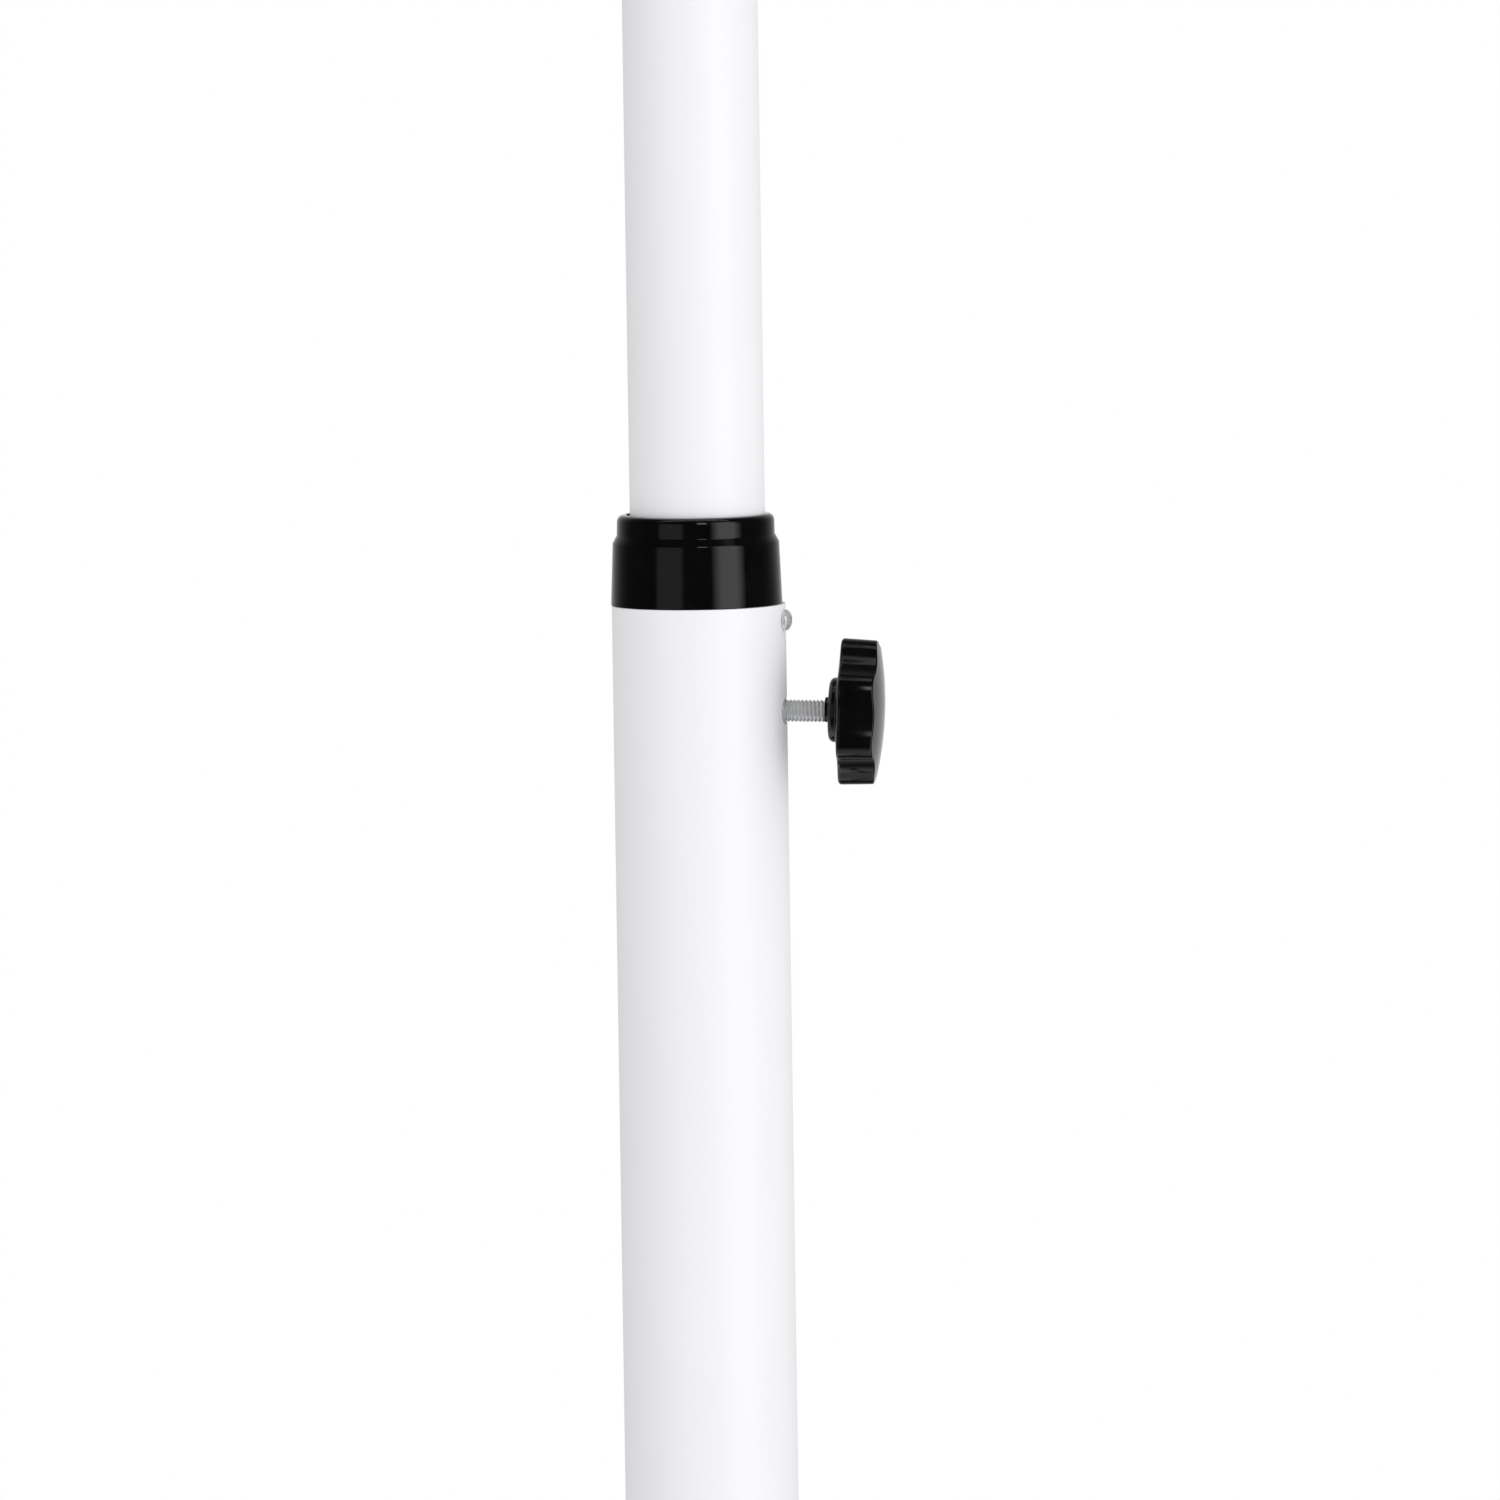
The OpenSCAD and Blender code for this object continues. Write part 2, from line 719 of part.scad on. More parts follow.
// Outline of the panel, with wide corners at the top and small ones above the ledge's bend
module panel_outline(inset = 0) {
    half = desk_w / 2 - inset;
    top_r = max(desk_corner_r - inset, 1);
    low_r = panel_low_r;
    low = panel_low_z + ledge_bend_in_r;
    high = panel_high_z - inset;
    union() {
        translate([-half, low + low_r]) square([2 * half, high - top_r - low - low_r]);
        translate([-half + top_r, low + low_r]) square([2 * (half - top_r), high - low - low_r]);
        translate([-half + low_r, low]) square([2 * (half - low_r), desk_h / 2]);
        for (side = [-1, 1]) {
            translate([side * (half - top_r), high - top_r]) circle(r = top_r);
            translate([side * (half - low_r), low + low_r]) circle(r = low_r);
        }
    }
}

module rivet_places() {
    step = (desk_w - 2 * rivet_end_in) / (ledge_rivet_count - 1);
    for (i = [0:ledge_rivet_count - 1])
        into_panel(-desk_w / 2 + rivet_end_in + i * step, panel_low_z + ledge_flange / 2) children();
}

module rivet_holes() {
    rivet_places() sunk_hole(rivet_head_r + rivet_gap, rivet_head_h, rivet_r + rivet_gap);
}

module desk_panel() {
    color(white_coat) on_desk() difference() {
        union() {
            translate([0, panel_back_y, 0]) forwards() linear_extrude(sheet_t) panel_outline();
            // Hem folded to the back along the top and the sides, down to the ledge's flange
            difference() {
                translate([0, panel_back_y + sheet_t, 0]) forwards()
                    linear_extrude(sheet_t + snug) panel_outline();
                translate([0, panel_back_y + sheet_t + over, 0]) forwards()
                    linear_extrude(sheet_t + over) panel_outline(hem_w);
                translate([-desk_w, panel_back_y, panel_low_z - over])
                    cube([2 * desk_w, 2 * sheet_t, ledge_flange + 2 * over]);
            }
        }
        bolt_holes();
        rivet_holes();
    }
}

module music_ledge() {
    length = desk_w - 2 * ledge_end_in;
    outline = concat(
        arc([ledge_front_y + ledge_bend_r, ledge_low_z + ledge_bend_r], ledge_bend_r, 180, 270),
        arc([ledge_back_y - ledge_bend_r, ledge_low_z + ledge_bend_r], ledge_bend_r, 270, 360),
        [[ledge_back_y, panel_low_z + ledge_flange], [panel_back_y, panel_low_z + ledge_flange]],
        arc([panel_back_y - ledge_bend_in_r, panel_low_z + ledge_bend_in_r], ledge_bend_in_r, 0, -90),
        arc([ledge_front_y + ledge_bend_r, ledge_low_z + ledge_bend_r], ledge_bend_in_r, 270, 180),
        [[ledge_front_y + sheet_t, ledge_low_z + ledge_lip], [ledge_front_y, ledge_low_z + ledge_lip]]);
    color(white_coat) on_desk() difference() {
        translate([-length / 2, 0, 0]) rotate([90, 0, 90]) linear_extrude(length) union() {
            polygon(outline);
            translate([ledge_front_y + sheet_t / 2, ledge_low_z + ledge_lip]) circle(r = ledge_bead_r);
        }
        rivet_holes();
    }
}

module ledge_rivets() {
    color(zinc) on_desk() rivet_places() union() {
        cylinder(r1 = rivet_head_r, r2 = rivet_r, h = rivet_head_h);
        cylinder(r = rivet_r, h = 2 * sheet_t + snug);
        translate([0, 0, 2 * sheet_t]) dome_head(rivet_shop_r, rivet_shop_h);
    }
}

module desk_bolts() {
    shank = sheet_t + backing_t + bracket_t + desk_nut_h + desk_bolt_tip;
    color(zinc) on_desk() bolt_places() difference() {
        union() {
            cylinder(r1 = desk_bolt_head_r, r2 = desk_bolt_r, h = desk_bolt_head_h);
            cylinder(r = desk_bolt_r, h = shank);
        }
        translate([0, 0, -over])
            cylinder(r = desk_bolt_key_r, h = desk_bolt_key_depth + over, $fn = 6);
    }
}

module desk_nuts() {
    color(zinc) on_desk() difference() {
        bolt_places() translate([0, 0, bracket_front_y - panel_front_y])
            cylinder(r = desk_nut_r, h = desk_nut_h, $fn = 6);
        bolt_holes();
    }
}

// Base ----------------------------------------------------------------------------------------

// Puts its children at a leg's pin: x points away from the column, y lies along the pin
module at_pin(turn) {
    on_column(leg_pin_z) rotate(turn) translate([leg_pin_out, 0, 0]) children();
}

// Puts its children on a leg's axis, with x running from the pin outwards and down
module on_leg(turn) {
    at_pin(turn) rotate([0, leg_slope, 0]) children();
}

// Plate in the plane of a leg, extruded along the pin's direction between two distances
module across_leg(from, to) {
    translate([0, to, 0]) rotate([90, 0, 0]) linear_extrude(to - from) children();
}

module ear_outline() {
    union() {
        circle(r = ear_r);
        translate([-leg_pin_out / 2, -ear_r]) square([leg_pin_out / 2, 2 * ear_r]);
    }
}

module base_hub() {
    hub_r = hub_d / 2;
    socket_r = lower_r + snug;
    color(black_cast) difference() {
        union() {
            on_column(hub_low_z) rotate_extrude()
                polygon([[0, 0], [hub_r - hub_edge, 0], [hub_r, hub_edge], [hub_r, hub_h - hub_edge],
                    [hub_r - hub_edge, hub_h], [0, hub_h]]);
            for (turn = [rear_turn, left_turn, right_turn])
                at_pin(turn) union() {
                    across_leg(ear_in, ear_out) ear_outline();
                    across_leg(-ear_out, -ear_in) ear_outline();
                    // Flat that stops the leg when it is open
                    translate([-leg_pin_out / 2, -ear_in - over, -ear_r])
                        cube([stop_x - leg_pin_out / 2, 2 * (ear_in + over), 2 * ear_r]);
                }
        }
        on_column(tube_foot_z) cylinder(r = socket_r, h = hub_h);
        on_column(hub_low_z - over) cylinder(r = column_plug_r + snug, h = hub_h);
        for (turn = [rear_turn, left_turn, right_turn])
            at_pin(turn) across_leg(-ear_out - over, ear_out + over) circle(r = pin_r + snug);
        hub_screw_places() translate([0, 0, -hub_r]) cylinder(r = hub_screw_r + snug, h = hub_d);
        hub_screw_places() cylinder(r = hub_screw_seat_r, h = hub_r);
    }
}

// The three grip screws sit between the legs, near the top of the hub
module hub_screw_places() {
    for (turn = [rear_turn, left_turn, right_turn])
        on_column(hub_top_z - hub_screw_drop) rotate(turn + 180)
            translate([hub_d / 2 - hub_screw_seat, 0, 0]) outwards() children();
}

module hub_screws() {
    shank = hub_d / 2 - hub_screw_seat - lower_r - hub_screw_tip_gap;
    color(zinc) hub_screw_places() difference() {
        union() {
            dome_head(hub_screw_head_r, hub_screw_head_h);
            translate([0, 0, -shank]) cylinder(r = hub_screw_r, h = shank + snug);
        }
        translate([0, 0, hub_screw_head_h / 3])
            cylinder(r = hub_screw_key_r, h = hub_screw_head_h, $fn = 6);
    }
}

module column_plug() {
    foot_r = column_plug_flange_r - 2 * column_plug_dome_h;
    color(black_rubber) on_column(hub_low_z - column_plug_flange_h) union() {
        cylinder(r = column_plug_flange_r, h = column_plug_flange_h);
        cylinder(r = column_plug_r, h = column_plug_flange_h + hub_floor);
        translate([0, 0, -column_plug_dome_h])
            cylinder(r1 = foot_r, r2 = column_plug_flange_r, h = column_plug_dome_h);
    }
}

module leg_pin(turn) {
    color(zinc) at_pin(turn) union() {
        across_leg(-ear_out, ear_out) circle(r = pin_r);
        translate([0, ear_out, 0]) rotate([-90, 0, 0]) dome_head(pin_head_r, pin_head_h);
        translate([0, -ear_out, 0]) rotate([90, 0, 0]) dome_head(pin_head_r, pin_head_h);
    }
}

module leg_hinge(turn) {
    half_w = block_w / 2;
    heel = leg_pin_out - stop_x;
    color(black_cast) difference() {
        union() {
            at_pin(turn) across_leg(-half_w, half_w) circle(r = block_r);
            // Heel with the flat that meets the hub's stop
            at_pin(turn) translate([-heel, -half_w, 0]) cube([heel, block_w, block_r]);
            on_leg(turn) intersection() {
                translate([0, -half_w, -block_bar_h / 2]) cube([leg_tube_x, block_w, block_bar_h]);
                outwards() cylinder(r = leg_r, h = leg_tube_x);
            }
            on_leg(turn) translate([block_boss_x, 0, 0]) outwards()
                cylinder(r = leg_r, h = leg_tube_x - block_boss_x);
            on_leg(turn) translate([leg_tube_x - over, 0, 0]) outwards()
                cylinder(r = leg_bore_r - snug, h = block_spigot + over);
        }
        at_pin(turn) across_leg(-half_w - over, half_w + over) circle(r = pin_r + turning);
        leg_rivet_place(turn) cylinder(r = rivet_r + snug, h = leg_r);
    }
}

// The rivet goes in from under the leg, so its place points up into the tube
module leg_rivet_place(turn) {
    on_leg(turn) translate([leg_rivet_x, 0, -leg_r]) children();
}

module leg_tube(turn) {
    color(white_coat) difference() {
        on_leg(turn) translate([leg_tube_x, 0, 0]) outwards()
            tube(leg_r, leg_bore_r, leg_reach + leg_tube_past - leg_tube_x);
        leg_rivet_place(turn) translate([0, 0, -over])
            cylinder(r = rivet_r + leg_rivet_hole_gap, h = leg_r);
    }
}

module leg_rivet(turn) {
    color(zinc) leg_rivet_place(turn) union() {
        rotate([180, 0, 0]) dome_head(leg_rivet_head_r, leg_rivet_head_h);
        translate([0, 0, -snug]) cylinder(r = rivet_r, h = leg_rivet_in);
    }
}

module leg_foot(turn) {
    boot_from = leg_reach - foot_back;
    color(black_rubber) difference() {
        union() {
            on_leg(turn) translate([boot_from, 0, 0]) outwards()
                cylinder(r = leg_r + foot_wall, h = foot_back + leg_tube_past + foot_end_t);
            on_column() rotate(turn) translate([foot_circle_r, 0, 0])
                cylinder(d = foot_pad_d, h = foot_axis_z);
        }
        on_leg(turn) translate([boot_from - foot_back, 0, 0]) outwards()
            cylinder(r = leg_r + snug, h = 2 * foot_back + leg_tube_past);
    }
}

base_hub();
hub_screws();
column_plug();
outer_tube();
collar();
collar_screw();
clamp_nut();
clamp_pad();
clamp_stud();
clamp_knob();
inner_tube();
guide_bush();
tube_plug();
tilt_head();
head_screws();
tilt_bolt();
friction_washers();
tilt_washer();
tilt_knob();
desk_bracket();
backing_plate();
desk_panel();
music_ledge();
ledge_rivets();
desk_bolts();
desk_nuts();
leg_pin(rear_turn);  // leg_pin_rear
leg_hinge(rear_turn);  // leg_hinge_rear
leg_tube(rear_turn);  // leg_tube_rear
leg_rivet(rear_turn);  // leg_rivet_rear
leg_foot(rear_turn);  // leg_foot_rear
leg_pin(left_turn);  // leg_pin_left
leg_hinge(left_turn);  // leg_hinge_left
leg_tube(left_turn);  // leg_tube_left
leg_rivet(left_turn);  // leg_rivet_left
leg_foot(left_turn);  // leg_foot_left
leg_pin(right_turn);  // leg_pin_right
leg_hinge(right_turn);  // leg_hinge_right
leg_tube(right_turn);  // leg_tube_right
leg_rivet(right_turn);  // leg_rivet_right
leg_foot(right_turn);  // leg_foot_right
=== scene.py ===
# %% [markdown]
# # A telescopic music stand, dressed in Blender
#
# The stand is already engineered: its tubes, clamp, head, desk and tripod come in as a packed
# model with their real sizes and joints. Blender adds what a drawing can't show: mouldings with
# soft edges, a real screw thread, powder coat, zinc and rubber, and the light of a studio.
#
# The first cell loads that model. Each part is an object that sits at the origin, with its place
# in its mesh, and every length is in metres.

# %% Load the engineered model
import json
from math import atan2, ceil, cos, pi, radians, sin, tan, tau

import bmesh
import bpy
from mathutils import Matrix, Vector

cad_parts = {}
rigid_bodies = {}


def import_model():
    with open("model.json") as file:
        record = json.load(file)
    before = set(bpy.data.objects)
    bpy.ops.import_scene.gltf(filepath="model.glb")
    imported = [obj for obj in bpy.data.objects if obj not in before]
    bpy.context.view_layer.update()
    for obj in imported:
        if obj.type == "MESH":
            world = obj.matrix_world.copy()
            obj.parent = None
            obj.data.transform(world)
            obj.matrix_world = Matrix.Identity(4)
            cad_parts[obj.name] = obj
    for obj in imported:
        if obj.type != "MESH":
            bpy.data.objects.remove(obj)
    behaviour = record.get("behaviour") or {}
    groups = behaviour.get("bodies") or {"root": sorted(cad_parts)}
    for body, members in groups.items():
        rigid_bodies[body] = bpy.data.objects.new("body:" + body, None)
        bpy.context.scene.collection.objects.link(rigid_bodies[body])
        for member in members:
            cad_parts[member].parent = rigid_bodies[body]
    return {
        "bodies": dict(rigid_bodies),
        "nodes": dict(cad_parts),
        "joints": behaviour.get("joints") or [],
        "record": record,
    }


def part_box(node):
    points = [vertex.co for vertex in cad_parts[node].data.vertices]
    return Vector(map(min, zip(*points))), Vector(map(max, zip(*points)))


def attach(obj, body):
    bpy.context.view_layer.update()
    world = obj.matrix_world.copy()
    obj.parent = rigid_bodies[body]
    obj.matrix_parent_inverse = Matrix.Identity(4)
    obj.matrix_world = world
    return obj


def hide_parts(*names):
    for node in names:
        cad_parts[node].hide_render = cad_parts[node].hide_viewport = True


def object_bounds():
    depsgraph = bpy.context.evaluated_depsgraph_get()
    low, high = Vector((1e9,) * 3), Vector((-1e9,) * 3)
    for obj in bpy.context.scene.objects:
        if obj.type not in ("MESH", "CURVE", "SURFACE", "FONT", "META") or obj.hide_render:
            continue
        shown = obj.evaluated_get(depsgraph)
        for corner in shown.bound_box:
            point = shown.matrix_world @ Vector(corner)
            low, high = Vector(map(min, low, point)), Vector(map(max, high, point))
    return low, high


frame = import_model()
model_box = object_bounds()
nodes = frame["nodes"]
MM = 0.001
print("parts:", len(nodes), "bodies:", len(frame["bodies"]), "height:", round(model_box[1].z, 3), "m")

# %% [markdown]
# ## Where things are
#
# Places are read from the model, so that the dressing follows when a size changes. The box of the
# outer tube gives the column's axis and rim. The joints give the axes that everything else hangs
# on: the clamp screw's, which sags a little in its nut, the tilt bolt's and the three leg pins'.
# The desk's lean is the tilt of the face that pages rest on.

# %% Read the column, the clamp axis, the tilt bolt and the legs
joints = {joint["name"]: joint for joint in frame["joints"]}
mounts = {mount["name"]: mount for mount in frame["record"]["mounts"]}


def upright(point=(0, 0, 0)):
    """The place of a piece that is built along +Z and stays so."""
    return Matrix.Translation(Vector(point))


OUTWARDS = Matrix.Rotation(pi / 2, 4, "Y")
tube_low, tube_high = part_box("outer_tube")
column = Vector((0, (tube_low.y + tube_high.y) / 2, 0))
lower_radius = (tube_high.y - tube_low.y) / 2
rim_height = tube_high.z
upper_low, upper_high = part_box("inner_tube")
upper_radius = (upper_high.y - upper_low.y) / 2

clamp_axis = Vector(joints["clamp_travel"]["axis"])
clamp_point = Vector(joints["clamp_knob_turn"]["pos_m"])
clamp_sag = atan2(-clamp_axis.z, clamp_axis.x)
tilt_point = Vector(joints["desk_tilt"]["pos_m"])
page_normal = mounts["desk_face"]["axis"]
desk_lean = atan2(page_normal[2], -page_normal[1])
desk_place = upright(tilt_point) @ Matrix.Rotation(-desk_lean, 4, "X")


def on_clamp(out):
    """Puts +Z on the clamp's axis, at a distance out from the column's axis."""
    start = clamp_point + clamp_axis * (out - clamp_point.x)
    return upright(start) @ Matrix.Rotation(clamp_sag, 4, "Y") @ OUTWARDS


def at_height(height):
    """Puts the origin on the column's axis, at a height."""
    return upright(column + Vector((0, 0, height)))


print("rim", round(rim_height, 4), "tube radii", round(lower_radius, 5), round(upper_radius, 5))
print("clamp sags", round(clamp_sag, 5), "desk leans", round(desk_lean, 4), "radians")

# %% [markdown]
# ## The camera
#
# A product picture of a column is taken from far away with a long lens, so that its sides stay
# parallel. The camera stands a little to the right and a little above the collar, and the frame
# is rolled by less than a degree. The rolled axes go straight into the camera's matrix, which is
# exact, where a tracking constraint would add a rule that other views have to undo.

# %% Place the camera
CAMERA_AZIMUTH, CAMERA_ELEVATION = radians(4.590), radians(4.863)
CAMERA_ROLL = radians(-0.838)
CAMERA_DISTANCE = 3.261
CAMERA_LENS, SENSOR_WIDTH, VIEW_END = 302.69, 36, 50
AIM_HEIGHT, AIM_RIGHT, AIM_UP = 0.7, 0.012702, -0.037967

backwards = Vector((sin(CAMERA_AZIMUTH) * cos(CAMERA_ELEVATION),
                    -cos(CAMERA_AZIMUTH) * cos(CAMERA_ELEVATION), sin(CAMERA_ELEVATION)))
level_right = Vector((cos(CAMERA_AZIMUTH), sin(CAMERA_AZIMUTH), 0))
level_up = backwards.cross(level_right)
aim = column + Vector((0, 0, AIM_HEIGHT)) + AIM_RIGHT * level_right + AIM_UP * level_up
frame_right = cos(CAMERA_ROLL) * level_right + sin(CAMERA_ROLL) * level_up
frame_up = cos(CAMERA_ROLL) * level_up - sin(CAMERA_ROLL) * level_right

lens = bpy.data.cameras.new("camera")
lens.lens, lens.sensor_width, lens.clip_end = CAMERA_LENS, SENSOR_WIDTH, VIEW_END
camera = bpy.data.objects.new("camera", lens)
camera.matrix_world = Matrix.Translation(aim + CAMERA_DISTANCE * backwards) @ Matrix(
    (frame_right, frame_up, backwards)).transposed().to_4x4()
bpy.context.scene.collection.objects.link(camera)
bpy.context.scene.camera = camera
print("camera at", [round(v, 3) for v in camera.matrix_world.translation])

# %% [markdown]
# ## Writing node trees as sums
#
# A material or a rule for a shape is a tree of nodes, which is long to write link by link. Here a
# small class wraps a socket, so that `1 - mask * 0.3` adds the Math nodes it needs. Every other
# node comes from one method, which takes its type, its settings and what its sockets get.

# %% A socket that can stand in a sum, and the tree it belongs to
class Value:
    def __init__(self, tree, socket):
        self.tree, self.socket = tree, socket

    def __getitem__(self, name):
        return Value(self.tree, Tree.find(self.socket.node.outputs, name))

    def __add__(self, other):
        return self.tree.maths("ADD", self, other)

    def __sub__(self, other):
        return self.tree.maths("SUBTRACT", self, other)

    def __rsub__(self, other):
        return self.tree.maths("SUBTRACT", other, self)

    def __mul__(self, other):
        return self.tree.maths("MULTIPLY", self, other)

    def __truediv__(self, other):
        return self.tree.maths("DIVIDE", self, other)

    def __pow__(self, other):
        return self.tree.maths("POWER", self, other)

    def __lt__(self, other):
        return self.tree.maths("LESS_THAN", self, other)

    def __gt__(self, other):
        return self.tree.maths("GREATER_THAN", self, other)

    __radd__, __rmul__ = __add__, __mul__


class Tree:
    def __init__(self, nodes_and_links):
        self.made = nodes_and_links

    @staticmethod
    def find(sockets, name):
        if isinstance(name, int):
            return sockets[name]
        return next(s for s in sockets if s.enabled and name in (s.name, s.identifier))

    def node(self, kind, settings=(), sockets=()):
        made = self.made.nodes.new(kind)
        for name, value in dict(settings).items():
            setattr(made, name, value)
        for name, value in dict(sockets).items():
            plug = self.find(made.inputs, name)
            for part in value if isinstance(value, list) else [value]:
                if isinstance(part, Value):
                    self.made.links.new(part.socket, plug)
                else:
                    plug.default_value = part
        return Value(self, next((s for s in made.outputs if s.enabled), None))

    def maths(self, operation, *terms):
        return self.node("ShaderNodeMath", {"operation": operation}, dict(enumerate(terms)))

    def vector(self, x, y, z):
        return self.node("ShaderNodeCombineXYZ", {}, {0: x, 1: y, 2: z})


print("operators:", [name for name in vars(Value) if name.startswith("__")][3:])

# %% [markdown]
# ## Finishes
#
# Each finish is one material that reads Object coordinates, which are metres on these pieces, so a
# grain keeps its real size on every part. What changes over a surface feeds only colour, roughness
# and bump, and on the floor alpha. Numbers that are the same all over are set on the shader itself.


# %% Helpers for finishes
def grain(tree, place, size, detail=2.0, rough=0.5):
    """Noise whose patches are about a given size in metres, from 0 to 1."""
    return tree.node("ShaderNodeTexNoise", {}, {
        "Vector": place, "Scale": 1 / size, "Detail": detail, "Roughness": rough})


def blend(tree, share, first, second):
    return tree.node("ShaderNodeMix", {"data_type": "RGBA"},
                     {"Factor": share, "A": (*first, 1) if isinstance(first, tuple) else first,
                      "B": (*second, 1) if isinstance(second, tuple) else second})["Result"]


def between(tree, value, low, high, start=0.0, end=1.0):
    """Maps a value from low..high to start..end, and holds it there outside."""
    return tree.node("ShaderNodeMapRange", {"clamp": True}, {
        "Value": value, "From Min": low, "From Max": high, "To Min": start, "To Max": end})


def finish(name, write, **constant):
    """Makes a material. write(tree, place) gives the sockets that change over the surface."""
    material = bpy.data.materials.new(name)
    material.use_nodes = True
    material.node_tree.nodes.clear()
    tree = Tree(material.node_tree)
    place = tree.node("ShaderNodeTexCoord")["Object"]
    sockets = {key.replace("_", " "): value for key, value in constant.items()}
    sockets.update(write(tree, place))
    surface = tree.node("ShaderNodeBsdfPrincipled", {}, sockets)
    tree.node("ShaderNodeOutputMaterial", {}, {"Surface": surface})
    print("finish", name, "has", len(material.node_tree.nodes), "nodes")
    return material


def bump(tree, height, depth):
    return tree.node("ShaderNodeBump", {}, {"Height": height, "Distance": depth, "Strength": 1.0})


# %% [markdown]
# ### White powder coat
#
# The tubes and the desk are sprayed with powder that melts into a satin skin. It is even, with a
# very fine orange peel, and slightly cool. The sliding tube is polished in faint upright streaks
# where the collar and the guide bush rub it, so its streaks change roughness and hardly the colour.


# %% White coat, still and rubbed
COAT_LIGHT, COAT_DARK = (0.903, 0.902, 0.929), (0.893, 0.892, 0.919)
COAT_ROUGH, PEEL_DEPTH = 0.36, 0.000004
CLOUD_SIZE, PEEL_SIZE, SPECK_SIZE = 0.05, 0.003, 0.004
STREAK_SIZE, STREAK_STRETCH, STREAK_ROUGH, STREAK_TINT = 0.0012, 0.02, 0.07, 0.25


def white_coat(rubbed):
    def write(tree, place):
        cloud = grain(tree, place, CLOUD_SIZE)
        peel = grain(tree, place, PEEL_SIZE, detail=1.0)
        speck = grain(tree, place, SPECK_SIZE, detail=3.0)
        rough = COAT_ROUGH + cloud * 0.06 + speck * 0.05
        colour = blend(tree, between(tree, cloud, 0.35, 0.65), COAT_LIGHT, COAT_DARK)
        if rubbed:
            stretch = tree.node("ShaderNodeMapping", {}, {
                "Vector": place, "Scale": (1.0, 1.0, STREAK_STRETCH)})
            streak = grain(tree, stretch, STREAK_SIZE, detail=3.0, rough=0.7)
            streak = between(tree, streak, 0.52, 0.68)
            rough = rough + streak * STREAK_ROUGH
            colour = blend(tree, streak * STREAK_TINT, colour, COAT_DARK)
        return {"Base Color": colour, "Roughness": rough, "Normal": bump(tree, peel, PEEL_DEPTH)}
    return write


steel_white = finish("white_powder_coat", white_coat(False), IOR=1.5)
steel_rubbed = finish("white_coat_rubbed", white_coat(True), IOR=1.5)

# %% [markdown]
# ### Glossy black mouldings
#
# The collar and the knobs are moulded in black plastic. They are so dark that nearly all that shows
# is reflection, so the colour stays close to black and the gloss varies a little, as a polished
# mould wears. Handled faces of the knobs are a touch duller.


# %% Gloss black
GLOSS_DARK, GLOSS_LIGHT = (0.0012, 0.0012, 0.0014), (0.0026, 0.0026, 0.0028)
WEAR_SIZE, FLOW_SIZE, FLOW_DEPTH = 0.006, 0.009, 0.000006


def moulded_gloss(low, high):
    def write(tree, place):
        wear = grain(tree, place, WEAR_SIZE, detail=4.0, rough=0.6)
        flow = grain(tree, place, FLOW_SIZE, detail=1.0)
        colour = blend(tree, between(tree, wear, 0.3, 0.7), GLOSS_DARK, GLOSS_LIGHT)
        return {"Base Color": colour, "Roughness": between(tree, wear, 0.3, 0.7, low, high),
                "Normal": bump(tree, flow, FLOW_DEPTH)}
    return write


gloss_black = finish("gloss_black_moulding", moulded_gloss(0.05, 0.09), IOR=1.5)
grip_black = finish("handled_black_moulding", moulded_gloss(0.08, 0.14), IOR=1.5)

# %% [markdown]
# ### Cast and pressed black steel
#
# The hub, the tilt head and the brackets have a black powder coat with a fine leathery texture that
# hides casting marks. The texture is a real relief, so it goes into the bump.


# %% Textured black coat
CAST_DARK, CAST_LIGHT = (0.016, 0.016, 0.017), (0.028, 0.028, 0.030)
PEBBLE_SIZE, PATCH_SIZE, PEBBLE_DEPTH = 0.0009, 0.03, 0.00006


def textured_coat(tree, place):
    pebble = grain(tree, place, PEBBLE_SIZE)
    cloud = grain(tree, place, PATCH_SIZE)
    colour = blend(tree, between(tree, pebble, 0.35, 0.7), CAST_DARK, CAST_LIGHT)
    return {"Base Color": colour, "Roughness": 0.42 + cloud * 0.12,
            "Normal": bump(tree, between(tree, pebble, 0.3, 0.7), PEBBLE_DEPTH)}


cast_black = finish("textured_black_coat", textured_coat, IOR=1.5)

# %% [markdown]
# ### Rubber, nylon and zinc
#
# Rubber and nylon are dull blacks that differ in grain. Bright zinc plating on steel is a metal with
# a cool, slightly cloudy reflection: thin streaks from tumbling change its roughness.


# %% Rubber, nylon and zinc
RUBBER_CLEAN, RUBBER_DUSTY = (0.018, 0.018, 0.018), (0.045, 0.044, 0.042)
NYLON_DARK, NYLON_LIGHT = (0.022, 0.022, 0.024), (0.034, 0.034, 0.036)
ZINC_DARK, ZINC_LIGHT = (0.68, 0.69, 0.70), (0.82, 0.825, 0.83)
DUST_SIZE, RUBBER_GRAIN, RUBBER_DEPTH = 0.002, 0.0004, 0.00003
SWIRL_SIZE, NYLON_GRAIN, NYLON_DEPTH = 0.004, 0.0006, 0.00002
STAIN_SIZE, SCRATCH_SIZE, SCRATCH_DEPTH = 0.0025, 0.00035, 0.000003
SCRATCH_TURN, SCRATCH_STRETCH = (0.5, 0.3, 0.7), (1.0, 0.06, 1.0)


def rubber(tree, place):
    dust = grain(tree, place, DUST_SIZE, detail=4.0, rough=0.7)
    colour = blend(tree, between(tree, dust, 0.45, 0.8), RUBBER_CLEAN, RUBBER_DUSTY)
    return {"Base Color": colour, "Roughness": 0.72 + dust * 0.16,
            "Normal": bump(tree, grain(tree, place, RUBBER_GRAIN), RUBBER_DEPTH)}


